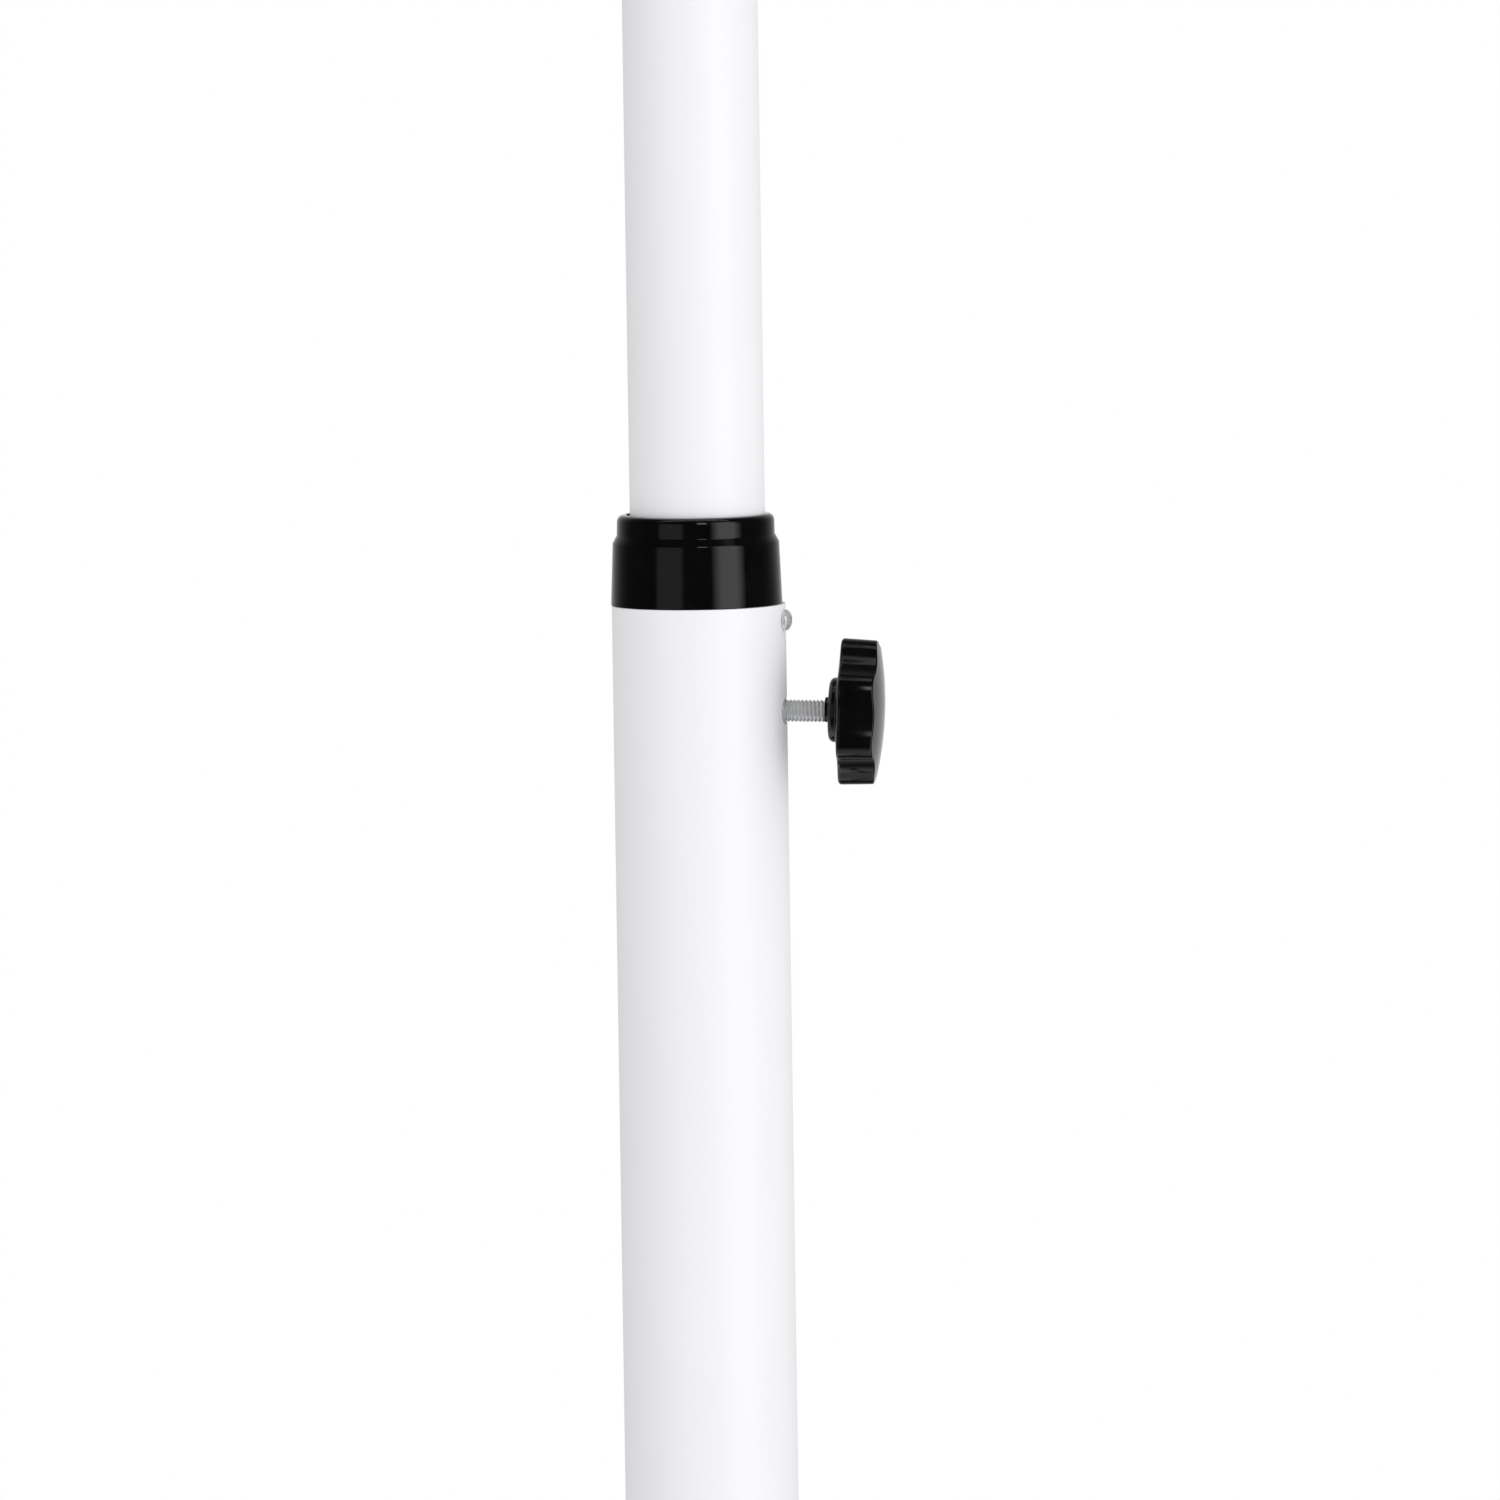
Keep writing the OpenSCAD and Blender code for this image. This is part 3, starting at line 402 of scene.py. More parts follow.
def nylon(tree, place):
    swirl = grain(tree, place, SWIRL_SIZE, detail=3.0)
    colour = blend(tree, between(tree, swirl, 0.3, 0.7), NYLON_DARK, NYLON_LIGHT)
    return {"Base Color": colour, "Roughness": 0.48 + swirl * 0.12,
            "Normal": bump(tree, grain(tree, place, NYLON_GRAIN), NYLON_DEPTH)}


def zinc_plate(dull):
    def write(tree, place):
        cloud = grain(tree, place, STAIN_SIZE, detail=4.0, rough=0.65)
        drawn_out = tree.node("ShaderNodeMapping", {}, {
            "Vector": place, "Rotation": SCRATCH_TURN, "Scale": SCRATCH_STRETCH})
        scratch = grain(tree, drawn_out, SCRATCH_SIZE)
        colour = blend(tree, between(tree, cloud, 0.3, 0.7), ZINC_DARK, ZINC_LIGHT)
        return {"Base Color": colour, "Roughness": dull + cloud * 0.1 + scratch * 0.05,
                "Normal": bump(tree, scratch, SCRATCH_DEPTH)}
    return write


black_rubber = finish("foot_rubber", rubber, IOR=1.5)
black_nylon = finish("black_nylon", nylon, IOR=1.5)
bright_zinc = finish("bright_zinc", zinc_plate(0.3), Metallic=0.6, IOR=1.5)
polished_zinc = finish("polished_zinc_threads", zinc_plate(0.16), Metallic=0.5, IOR=1.5)

# %% [markdown]
# ## Finishes on the engineered parts
#
# A part whose engineered shape is right keeps it and only gets a finish. The record names a slot for
# each part, so the finish follows from that, and the sliding tube gets the rubbed coat.

# %% Give every engineered part its finish
SLOT_FINISH = {"white_coat": steel_white, "black_gloss": gloss_black, "black_coat": cast_black,
               "black_rubber": black_rubber, "black_nylon": black_nylon, "zinc": bright_zinc}
slot_of = {part["node"]: part["material_slot"] for part in frame["record"]["subparts"]}
for name, part in nodes.items():
    part.data.materials.clear()
    part.data.materials.append(steel_rubbed if name == "inner_tube" else SLOT_FINISH[slot_of[name]])
print("slots used:", sorted(set(slot_of.values())))

# %% [markdown]
# ## From a mesh to a finished piece
#
# A shape can come from Geometry Nodes or from a copy of an engineered part. Either way it is merged, its
# normals are turned outwards, its shading is smooth up to a crease angle, it is hung on the body it rides
# on, and the part it replaces is hidden.


# %% Helpers that finish a piece and run a shape's tree
MERGE = 0.5e-6


def piece_from(mesh, name, body, slot, replaced, crease=34.0):
    shell = bmesh.new()
    shell.from_mesh(mesh)
    bmesh.ops.remove_doubles(shell, verts=shell.verts, dist=MERGE)
    bmesh.ops.recalc_face_normals(shell, faces=shell.faces)
    open_edges = sum(not edge.is_manifold for edge in shell.edges)
    shell.to_mesh(mesh)
    shell.free()
    mesh.shade_smooth()
    mesh.set_sharp_from_angle(angle=radians(crease))
    piece = bpy.data.objects.new(name, mesh)
    bpy.context.scene.collection.objects.link(piece)
    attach(piece, body)
    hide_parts(*replaced)
    print(name, "faces", len(mesh.polygons), "open edges", open_edges)
    return piece


def shape_tree(name, sizes, write):
    """A Geometry Nodes tree with named inputs; write(tree, inputs) returns the finished geometry."""
    group = bpy.data.node_groups.new(name, "GeometryNodeTree")
    group.interface.new_socket("Outline", in_out="INPUT", socket_type="NodeSocketGeometry")
    for label, default in sizes.items():
        kind = "Int" if isinstance(default, int) else "Float"
        socket = group.interface.new_socket(label, in_out="INPUT", socket_type="NodeSocket" + kind)
        socket.default_value = default
    group.interface.new_socket("Finish", in_out="INPUT", socket_type="NodeSocketMaterial")
    group.interface.new_socket("Shape", in_out="OUTPUT", socket_type="NodeSocketGeometry")
    tree = Tree(group)
    inputs = tree.node("NodeGroupInput")
    made = tree.node("GeometryNodeRealizeInstances", {}, {"Geometry": write(tree, inputs)})
    made = tree.node("GeometryNodeSetMaterial", {}, {"Geometry": made, "Material": inputs["Finish"]})
    tree.node("NodeGroupOutput", {}, {"Shape": made})
    return group


def evaluated_mesh(holder):
    """A plain mesh of what an object's modifiers make."""
    graph = bpy.context.evaluated_depsgraph_get()
    return bpy.data.meshes.new_from_object(holder.evaluated_get(graph), depsgraph=graph)


def grow(group, outline, material, place, **sizes):
    """Runs a tree on an outline of points and returns a plain mesh at its place."""
    base = bpy.data.meshes.new(group.name)
    base.from_pydata([Vector(point) for point in outline], (), ())
    holder = bpy.data.objects.new(group.name, base)
    bpy.context.scene.collection.objects.link(holder)
    modifier = holder.modifiers.new("shape", "NODES")
    modifier.node_group = group
    given = {label.replace("_", " "): value for label, value in sizes.items()}
    for item in group.interface.items_tree:
        if item.in_out == "INPUT" and item.name in given:
            modifier[item.identifier] = given[item.name]
        elif item.name == "Finish":
            modifier[item.identifier] = material
    mesh = evaluated_mesh(holder)
    holder.modifiers.remove(modifier)
    bpy.data.objects.remove(holder)
    bpy.data.meshes.remove(base)
    mesh.transform(place)
    return mesh


# %% [markdown]
# ## A lathe
#
# Collars, knobs, screw heads and rivets are all turned shapes, so they share a lathe. It lays a grid
# of points, one row for each point of an outline and one column for each step around the axis, and
# bends it round. The outline's points carry radius, lobing and height as x, y and z. Where the two
# ends of the grid meet, and where a row shrinks to the axis, merging closes the skin.
#
# Outlines are written as corners in millimetres, each with the radius that rounds it off.


# %% The lathe, and outlines with rounded corners
SEAM = 1e-6


def rounded(corners, steps=5):
    """Points through (radius, height, rounding) corners in millimetres, each corner rounded off."""
    points = []
    for i, (r, z, fillet) in enumerate(corners):
        here = Vector((r, z))
        if not fillet:
            points.append(here)
            continue
        to_last = (Vector(corners[i - 1][:2]) - here).normalized()
        to_next = (Vector(corners[(i + 1) % len(corners)][:2]) - here).normalized()
        half = to_last.angle(to_next) / 2
        middle = here + (to_last + to_next).normalized() * fillet / sin(half)
        start, end = (here + way * fillet / tan(half) - middle for way in (to_last, to_next))
        turn = pi - 2 * half
        arc = [start * sin(turn * (1 - t / steps)) + end * sin(turn * t / steps)
               for t in range(steps + 1)]
        points += [middle + way / sin(turn) for way in arc]
    return points


def as_rows(points, weight=lambda r: 0.0):
    return [(p.x * MM, weight(p.x), p.y * MM) for p in points]


def grid_place(tree, rows, around):
    """A grid of points, with each point's row number and its turn in radians."""
    across = around + 1
    grid = tree.node("GeometryNodeMeshGrid", {}, {"Vertices X": rows, "Vertices Y": across})
    index = tree.node("GeometryNodeInputIndex")
    row = tree.maths("FLOOR", (index + 0.5) / across)
    turn = (index - row * across) / around * tau
    return grid, row, turn


def bend_round(tree, grid, radius, turn, height):
    bent = tree.node("GeometryNodeSetPosition", {}, {"Geometry": grid, "Position": tree.vector(
        radius * tree.maths("COSINE", turn), radius * tree.maths("SINE", turn), height)})
    return tree.node("GeometryNodeMergeByDistance", {}, {"Geometry": bent, "Distance": SEAM})


def lathe(tree, outline, around, lobing=None):
    """Turns an outline. lobing(radius, weight, height, turn) may push rows in or out."""
    rows = tree.node("GeometryNodeAttributeDomainSize", {}, {"Geometry": outline})["Point Count"]
    grid, row, turn = grid_place(tree, rows, around)
    sample = tree.node("GeometryNodeSampleIndex", {"data_type": "FLOAT_VECTOR"}, {
        "Geometry": outline, "Value": tree.node("GeometryNodeInputPosition"), "Index": row})
    point = tree.node("ShaderNodeSeparateXYZ", {}, {"Vector": sample})
    radius, height = point["X"], point["Z"]
    if lobing:
        radius, height = lobing(radius, point["Y"], height, turn)
    return bend_round(tree, grid, radius, turn, height)


square_corner = rounded([(0, 0, 0), (5, 0, 1), (5, 5, 0)])
print("a square corner of 5 mm with a 1 mm rounding has", len(square_corner), "points")

# %% [markdown]
# ## The collar
#
# The black collar caps the lower tube and guides the upper one. It is one moulding: a sleeve that
# goes down inside the lower tube, a skirt that flares slightly towards its lower edge, a soft
# shoulder and a narrower ring with a rounded mouth. It is turned on the lathe and then cut, inside
# the tube, for the clamp's saddle nut, its pressure pad and the screw that holds the collar. A
# pushed-in moulding seldom sits dead centre, so `COLLAR_LEFT` shifts it by half a millimetre.

# %% Collar outline and its cuts
SLEEVE_BORE, SLEEVE_RADIUS, SLEEVE_LENGTH = 17.8, 21.2, 50.0
collar_corners = [(SLEEVE_BORE, -SLEEVE_LENGTH, 0.3), (SLEEVE_RADIUS, -SLEEVE_LENGTH, 0.5),
                  (SLEEVE_RADIUS, 0, 0), (22.2, 0, 0.22), (21.56, 16.1, 1.0), (20.46, 18.1, 0.6),
                  (20.34, 23.4, 1.8), (17.98, 23.4, 0.2), (SLEEVE_BORE, 21.0, 0.5)]
COLLAR_LEFT, CLAMP_DROP, COLLAR_SCREW_DROP, COLLAR_SCREW_TURN = 0.5, 27.8, 4.1, radians(-8)
hole_places = {"Clamp height": -CLAMP_DROP * MM, "Screw height": -COLLAR_SCREW_DROP * MM,
               "Screw turn": COLLAR_SCREW_TURN}


def cut_away(tree, body, *cutters):
    return tree.node("GeometryNodeMeshBoolean", {"operation": "DIFFERENCE", "solver": "EXACT"},
                     {"Mesh 1": body, "Mesh 2": list(cutters)})


def moved(tree, body, place=(0, 0, 0), turn=(0, 0, 0)):
    return tree.node("GeometryNodeTransform", {}, {
        "Geometry": body, "Translation": place, "Rotation": turn})


def block(tree, x, y, z):
    return tree.node("GeometryNodeMeshCube", {}, {"Size": tree.vector(x, y, z)})["Mesh"]


def bar(tree, radius, length, sides):
    """A bar along Z, with its middle at the origin."""
    return tree.node("GeometryNodeMeshCylinder", {}, {
        "Radius": radius, "Depth": length, "Vertices": sides})["Mesh"]


def rod(tree, radius, length, sides):
    """A bar along +X from the axis outwards, as a cutter."""
    middle = tree.vector(length / 2, 0.0, 0.0)
    return moved(tree, bar(tree, radius, length, sides), middle, (0, pi / 2, 0))


def at_clamp(tree, size, cutter, out=0.0):
    """Puts a cutter at the clamp's height, moved out from the axis."""
    return moved(tree, cutter, tree.vector(out, 0.0, size["Clamp height"]))


def screw_hole(tree, size):
    hole = rod(tree, size["Screw"], size["Reach"], 32)
    return moved(tree, hole, tree.vector(0.0, 0.0, size["Screw height"]),
                 tree.vector(0.0, 0.0, size["Screw turn"]))


def collar_shape(tree, size):
    shell = lathe(tree, size["Outline"], size["Around"])
    nut = at_clamp(tree, size, block(tree, size["Reach"], size["Nut width"], size["Nut width"]),
                   size["Nut inside"] + size["Reach"] / 2)
    window = at_clamp(tree, size, rod(tree, size["Window"], size["Reach"], 48))
    return cut_away(tree, shell, nut, window, screw_hole(tree, size))


collar_tree = shape_tree("collar_shape", {
    "Around": 144, "Nut width": 0.0133, "Nut inside": 0.01925, "Window": 0.0048, "Screw": 0.0015,
    "Reach": 0.0225, **hole_places}, collar_shape)
collar_rows = as_rows(rounded(collar_corners))
piece_from(grow(collar_tree, collar_rows + collar_rows[:1], gloss_black,
                upright(column + Vector((-COLLAR_LEFT * MM, 0, rim_height)))),
           "collar_moulding", "base", "black_gloss", ["collar"])

# %% [markdown]
# ## The lower tube with its holes
#
# The stud passes the tube's wall in a slot that is wider than high, so that the saddle nut behind it
# can find its seat. The tube is a turned shape with two cutters: a rod pulled wide for the slot,
# which gives it round ends, and a plain one for the screw.

# %% Lower tube
TUBE_WALL, TUBE_EDGE, SLOT_WIDTH, SLOT_HEIGHT = 1.2, 0.2, 12.0, 7.0
tube_length = (tube_high.z - tube_low.z) / MM


def tube_shape(tree, size):
    wall = lathe(tree, size["Outline"], size["Around"])
    point = tree.node("GeometryNodeInputPosition")
    side = tree.node("ShaderNodeSeparateXYZ", {}, {"Vector": point})["Y"]
    spread = tree.maths("SIGN", side) * (size["Slot width"] - size["Slot height"]) / 2
    slot = tree.node("GeometryNodeSetPosition", {}, {
        "Geometry": rod(tree, size["Slot height"] / 2, size["Reach"], 64),
        "Offset": tree.vector(0.0, spread, 0.0)})
    return cut_away(tree, wall, at_clamp(tree, size, slot), screw_hole(tree, size))


tube_tree = shape_tree("lower_tube_shape", {
    "Around": 192, "Reach": 0.03, "Slot width": SLOT_WIDTH * MM, "Slot height": SLOT_HEIGHT * MM,
    "Screw": 0.0016, **hole_places}, tube_shape)
outside, bore = lower_radius / MM, lower_radius / MM - TUBE_WALL
tube_corners = [(bore, -tube_length), (outside, -tube_length), (outside, 0), (bore, 0)]
tube_rows = as_rows(rounded([(r, z, TUBE_EDGE) for r, z in tube_corners]))
lower_tube = grow(tube_tree, tube_rows + tube_rows[:1], steel_white, at_height(rim_height))
piece_from(lower_tube, "lower_tube_slotted", "base", "white_coat", ["outer_tube"])

# %% [markdown]
# ## The star knobs
#
# Both knobs are the same moulding: a hub behind, seven round lobes and a domed front. The outline
# seen along the axis is made of circles: one for each lobe, and a hollow circle between each two,
# which touches both. For any turn the distance to the edge follows from one or the other, and the
# `PINGPONG` operation folds all seven lobes onto half a lobe, so the tree works it out once.
#
# Rows at the rim carry a weight of 1 and follow the lobes, rows near the hub carry 0 and stay round.
# The dome is a shallow bowl, so a row that moves inwards also rises by the bowl's curve.

# %% Star knob outline and tree
KNOB_RADIUS, LOBES, LOBE_RADIUS, KNOB_VALLEY, DOME_RISE = 19.4, 7, 5.2, 2.4, 2.2
HUB_RADIUS, HUB_BACK, LOBE_BACK, RIM_BACK, RIM_FRONT = 8.4, 1.1, 3.1, 4.15, 13.35
KNOB_DRAFT, RIM_MIDDLE, DOME_DROP = 0.4, 9.0, 0.15
lobe_centre = KNOB_RADIUS - LOBE_RADIUS
valley_foot = KNOB_RADIUS - KNOB_VALLEY
lobe_side = lobe_centre * cos(pi / LOBES)
valley_radius = (valley_foot ** 2 + lobe_centre ** 2 - 2 * valley_foot * lobe_side - LOBE_RADIUS ** 2) / (
    2 * (LOBE_RADIUS + lobe_side - valley_foot))
valley_centre = valley_foot + valley_radius
touch_share = LOBE_RADIUS / (LOBE_RADIUS + valley_radius)
touch_turn = atan2(touch_share * valley_centre * sin(pi / LOBES),
                   lobe_centre + touch_share * (valley_centre * cos(pi / LOBES) - lobe_centre))
print("valley radius", round(valley_radius, 2), "mm, touches a lobe at", round(touch_turn, 3), "radians")


def star_shape(tree, size):
    def half_chord(circle_radius, centre, turn):
        """Half of what a ray from the knob's axis cuts off a circle."""
        off = centre * MM * tree.maths("SINE", turn)
        return tree.maths("SQRT", (circle_radius * MM) ** 2 - off ** 2)

    def lobed(radius, weight, height, turn):
        folded = tree.maths("PINGPONG", turn, pi / LOBES)
        from_valley = pi / LOBES - folded
        lobe = (lobe_centre * MM * tree.maths("COSINE", folded)
                + half_chord(LOBE_RADIUS, lobe_centre, folded))
        hollow = (valley_centre * MM * tree.maths("COSINE", from_valley)
                  - half_chord(valley_radius, valley_centre, from_valley))
        in_lobe = folded < touch_turn
        edge = in_lobe * lobe + (1 - in_lobe) * hollow
        lobed_radius = radius + weight * (edge - size["Knob radius"])
        front = height > size["Front height"]
        bowl = size["Dome rise"] * (radius * radius - lobed_radius * lobed_radius) / (
            size["Knob radius"] * size["Knob radius"])
        return lobed_radius, height + front * bowl

    return lathe(tree, size["Outline"], size["Around"], lobed)


star_tree = shape_tree("star_knob_shape", {
    "Around": 28 * LOBES, "Knob radius": KNOB_RADIUS * MM, "Dome rise": DOME_RISE * MM,
    "Front height": RIM_MIDDLE * MM}, star_shape)
ROUND_WITHIN, BLEND_WIDTH = 9.5, 8.0
DOME_STEPS = (0.93, 0.86, 0.74, 0.62, 0.5, 0.36, 0.2, 0.08, 0)


def lobe_weight(r):
    """No lobing at the hub, full lobing at the rim."""
    return min(1.0, max(0.0, (r - ROUND_WITHIN) / BLEND_WIDTH))


def knob_outline(boss_radius, bore_radius, bore_depth):
    corners = [(0, bore_depth, 0), (bore_radius, bore_depth, 0), (bore_radius, 0, 0.1),
               (boss_radius, 0, 0.12), (boss_radius, HUB_BACK, 0),
               (HUB_RADIUS, HUB_BACK, 1.5), (HUB_RADIUS, LOBE_BACK, 0.35),
               (13.0, 3.55, 0), (16.5, 3.9, 0), (KNOB_RADIUS, RIM_BACK, 0.9),
               (KNOB_RADIUS - KNOB_DRAFT / 2, RIM_MIDDLE, 0), (KNOB_RADIUS - KNOB_DRAFT, RIM_FRONT, 0.55)]
    dome = [(KNOB_RADIUS * q, RIM_FRONT - DOME_DROP + DOME_RISE * (1 - q * q), 0) for q in DOME_STEPS]
    return as_rows(rounded(corners + dome), lobe_weight)


# %% [markdown]
# A knob stops wherever the hand that tightened it let go, so each knob's turn is named. The clamp's
# knob also sits a degree askew and a little high, which is the play of its thread. The tilt knob
# has a thicker boss, because its bolt is 8 mm.

# %% Clamp knob and tilt knob
KNOB_OUT, CLAMP_KNOB_LIFT = 32.4, 0.4
CLAMP_KNOB_TURN, TILT_KNOB_TURN, CLAMP_KNOB_CROOK = radians(40.1), radians(30), radians(1.0)
clamp_seat = (upright((0, 0, CLAMP_KNOB_LIFT * MM)) @ on_clamp(KNOB_OUT * MM)
              @ Matrix.Rotation(CLAMP_KNOB_CROOK, 4, "Y"))
piece_from(grow(star_tree, knob_outline(boss_radius=3.25, bore_radius=2.9, bore_depth=11.05),
                grip_black, clamp_seat @ Matrix.Rotation(CLAMP_KNOB_TURN, 4, "Z")),
           "clamp_star_knob", "clamp_screw", "black_gloss", ["clamp_knob"], crease=40)
knob_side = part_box("tilt_washer")[1].x
tilt_seat = desk_place @ upright((knob_side, 0, 0)) @ OUTWARDS
piece_from(grow(star_tree, knob_outline(boss_radius=5.6, bore_radius=4.05, bore_depth=13.0),
                grip_black, tilt_seat @ Matrix.Rotation(TILT_KNOB_TURN, 4, "Z")),
           "tilt_star_knob", "tilt_knob", "black_gloss", ["tilt_knob"], crease=40)

# %% [markdown]
# ## The clamp's threaded stud
#
# A thread is a ridge that climbs one pitch per turn. If the rows of the lathe's grid climb with it,
# every row is a helix at one place on the ridge, and the ridge stays crisp with few faces. After a
# full turn a row meets the row one pitch further on, so the skin closes. Near both ends the ridge
# runs out, and the rows are held at the end's plane. The ridge is a triangle with its crest cut
# off: `FLANK` is the triangle's height, of which 1 stays. A thin neck joins the thread to its pad.

# %% Thread tree and stud
THREAD_STEPS, FLANK, RUN_OUT_PITCHES = 8, 1.6, 0.8


def thread_shape(tree, size):
    turns = tree.maths("CEIL", size["Length"] / size["Pitch"])
    rows = (turns + 1) * THREAD_STEPS + 3
    grid, row, turn = grid_place(tree, rows, size["Around"])
    climb = (row - 1) / THREAD_STEPS - 1 + turn / tau
    height = tree.maths("MINIMUM", tree.maths("MAXIMUM", climb * size["Pitch"], 0.0), size["Length"])
    phase = tree.maths("FRACT", (row - 1) / THREAD_STEPS)
    ridge = tree.maths("MINIMUM", FLANK * (1 - tree.maths("ABSOLUTE", 2 * phase - 1)), 1.0)
    to_end = tree.maths("MINIMUM", height, size["Length"] - height)
    run_out = tree.maths("MINIMUM", to_end / (RUN_OUT_PITCHES * size["Pitch"]), 1.0)
    inside = (row > 0.5) * (row < rows - 1.5)
    radius = inside * (size["Core"] + size["Depth"] * ridge * run_out)
    skin = bend_round(tree, grid, radius, turn, height)
    neck_middle = 0.0 - size["Neck length"] / 2 + size["Pitch"] / 2
    neck = moved(tree, bar(tree, size["Neck"], size["Neck length"], 32),
                 tree.vector(0.0, 0.0, neck_middle))
    return tree.node("GeometryNodeJoinGeometry", {}, {"Geometry": [skin, neck]})


THREAD_START, THREAD_END, PITCH, STUD_RADIUS, THREAD_DEPTH = 18.45, 43.2, 1.0, 2.85, 0.42
thread_tree = shape_tree("thread_shape", {
    "Around": 48, "Length": (THREAD_END - THREAD_START) * MM, "Pitch": PITCH * MM,
    "Core": (STUD_RADIUS - THREAD_DEPTH) * MM, "Depth": THREAD_DEPTH * MM, "Neck": 0.0015,
    "Neck length": 0.00105}, thread_shape)
piece_from(grow(thread_tree, [(0, 0, 0)], polished_zinc, on_clamp(THREAD_START * MM)),
           "clamp_stud_thread", "clamp_screw", "zinc", ["clamp_stud"], crease=50)
print("stud turns:", ceil((THREAD_END - THREAD_START) / PITCH))

# %% [markdown]
# ## Screws in rings
#
# Pan-head screws with a cross recess hold the collar and the tilt head, and button-head screws with
# a hexagon socket grip the column in its hub. Both trees turn the screw, cut its recess and set
# copies on a ring around the column, pointing outwards. One screw or two is a ring as well.


# %% Trees for cross-recess and socket screws on a ring
def on_ring(tree, screw, size):
    """Copies of a screw around the column's axis, with their heads outwards."""
    index = tree.node("GeometryNodeInputIndex")
    turn = size["Start"] + index * tau / size["Count"]
    spot = tree.vector(size["Ring"] * tree.maths("COSINE", turn),
                       size["Ring"] * tree.maths("SINE", turn), 0.0)
    points = tree.node("GeometryNodePoints", {}, {"Count": size["Count"], "Position": spot})
    return tree.node("GeometryNodeInstanceOnPoints", {}, {
        "Points": points, "Instance": screw, "Rotation": tree.vector(0.0, pi / 2, turn)})


def cross_screw(tree, size):
    head = lathe(tree, size["Outline"], size["Around"])
    top = tree.vector(0.0, 0.0, size["Head height"])
    arm = block(tree, size["Recess length"], size["Recess width"], size["Recess depth"] * 2)
    arms = [moved(tree, arm, top, (0, 0, radians(turn))) for turn in (45, 135)]
    return on_ring(tree, cut_away(tree, head, *arms), size)


def socket_screw(tree, size):
    head = lathe(tree, size["Outline"], size["Around"])
    key = moved(tree, bar(tree, size["Key radius"], size["Key depth"] * 2, 6),
                tree.vector(0.0, 0.0, size["Head height"]))
    return on_ring(tree, cut_away(tree, head, key), size)


ring_sizes = {"Around": 48, "Count": 1, "Start": 0.0, "Ring": 0.02, "Head height": 0.002}
cross_tree = shape_tree("cross_screw_ring", {
    **ring_sizes, "Recess length": 0.003, "Recess width": 0.00078, "Recess depth": 0.0009}, cross_screw)
socket_tree = shape_tree("socket_screw_ring", {
    **ring_sizes, "Key radius": 0.0023, "Key depth": 0.0022}, socket_screw)

# %% [markdown]
# The screws' outlines run from the tip of the shank to the top of the head, so both ends lie on the
# axis and the skin closes there.

# %% Collar screw, head screws and hub screws
pan_rows = as_rows(rounded([
    (0, -4.1, 0), (1.45, -4.1, 0.3), (1.45, 0, 0), (2.72, 0, 0.12), (2.72, 1.0, 0.85),
    (1.6, 1.9, 1.2), (0, 2.0, 0)]))
button_rows = as_rows(rounded([
    (0, -6.48, 0), (3.0, -6.48, 0.4), (3.0, 0, 0), (5.25, 0, 0.2), (5.25, 1.0, 0.8),
    (3.4, 3.0, 1.6), (0, 3.3, 0)]))
HEAD_SCREW_DROP, HUB_SCREW_DROP, HUB_SCREW_OUT = 10.0, 14.0, 29.1
hub_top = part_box("base_hub")[1].z
piece_from(grow(cross_tree, pan_rows, polished_zinc, at_height(rim_height - COLLAR_SCREW_DROP * MM),
                Start=COLLAR_SCREW_TURN, Ring=lower_radius),
           "collar_screw_cross", "base", "zinc", ["collar_screw"])
piece_from(grow(cross_tree, pan_rows, polished_zinc, at_height(upper_high.z - HEAD_SCREW_DROP * MM),
                Count=2, Ring=upper_radius),
           "head_screw_pair", "mast", "zinc", ["head_screws"])
piece_from(grow(socket_tree, button_rows, bright_zinc, at_height(hub_top - HUB_SCREW_DROP * MM),
                Count=3, Start=-pi / 2, Ring=HUB_SCREW_OUT * MM, Head_height=0.0033),
           "hub_grip_screws", "base", "zinc", ["hub_screws"])

# %% [markdown]
# ## Rivets, bolts and nuts in rows
#
# Five flush rivets hold the ledge, and four countersunk bolts with nuts hold the desk to its
# bracket. They all sit on even grids in the desk's own plane, so one helper sets any of them at the
# points of a grid. A hexagon socket is cut into the bolts, and a small dimple into the rivets.


# %% Tree for fasteners on a grid, and the desk's rivets, bolts and nuts
def on_grid(tree, fastener, size):
    """Copies of a fastener at the points of a grid."""
    grid = tree.node("GeometryNodeMeshGrid", {}, {
        "Vertices X": size["Columns"], "Vertices Y": size["Rows"],
        "Size X": size["Width"], "Size Y": size["Depth"]})
    return tree.node("GeometryNodeInstanceOnPoints", {}, {"Points": grid, "Instance": fastener})


def fastener_grid(tree, size):
    shape = lathe(tree, size["Outline"], size["Around"])
    key = bar(tree, size["Key radius"], size["Key depth"] * 2, 6)
    return on_grid(tree, cut_away(tree, shape, key), size)


grid_sizes = {"Columns": 2, "Rows": 2, "Width": 0.048, "Depth": 0.044}
grid_tree = shape_tree("fastener_grid", {
    "Around": 48, **grid_sizes, "Key radius": 0.00175, "Key depth": 0.0014}, fastener_grid)
PANEL_FRONT, RIVET_HEIGHT, RIVET_SPAN, NUT_FRONT = -39.2, -151.0, 456.0, 6.2


def in_panel(height=0.0, depth=0.0):
    """Puts +Z through the panel, away from the musician."""
    spot = upright((0, (PANEL_FRONT + depth) * MM, height * MM))
    return desk_place @ spot @ Matrix.Rotation(-pi / 2, 4, "X")


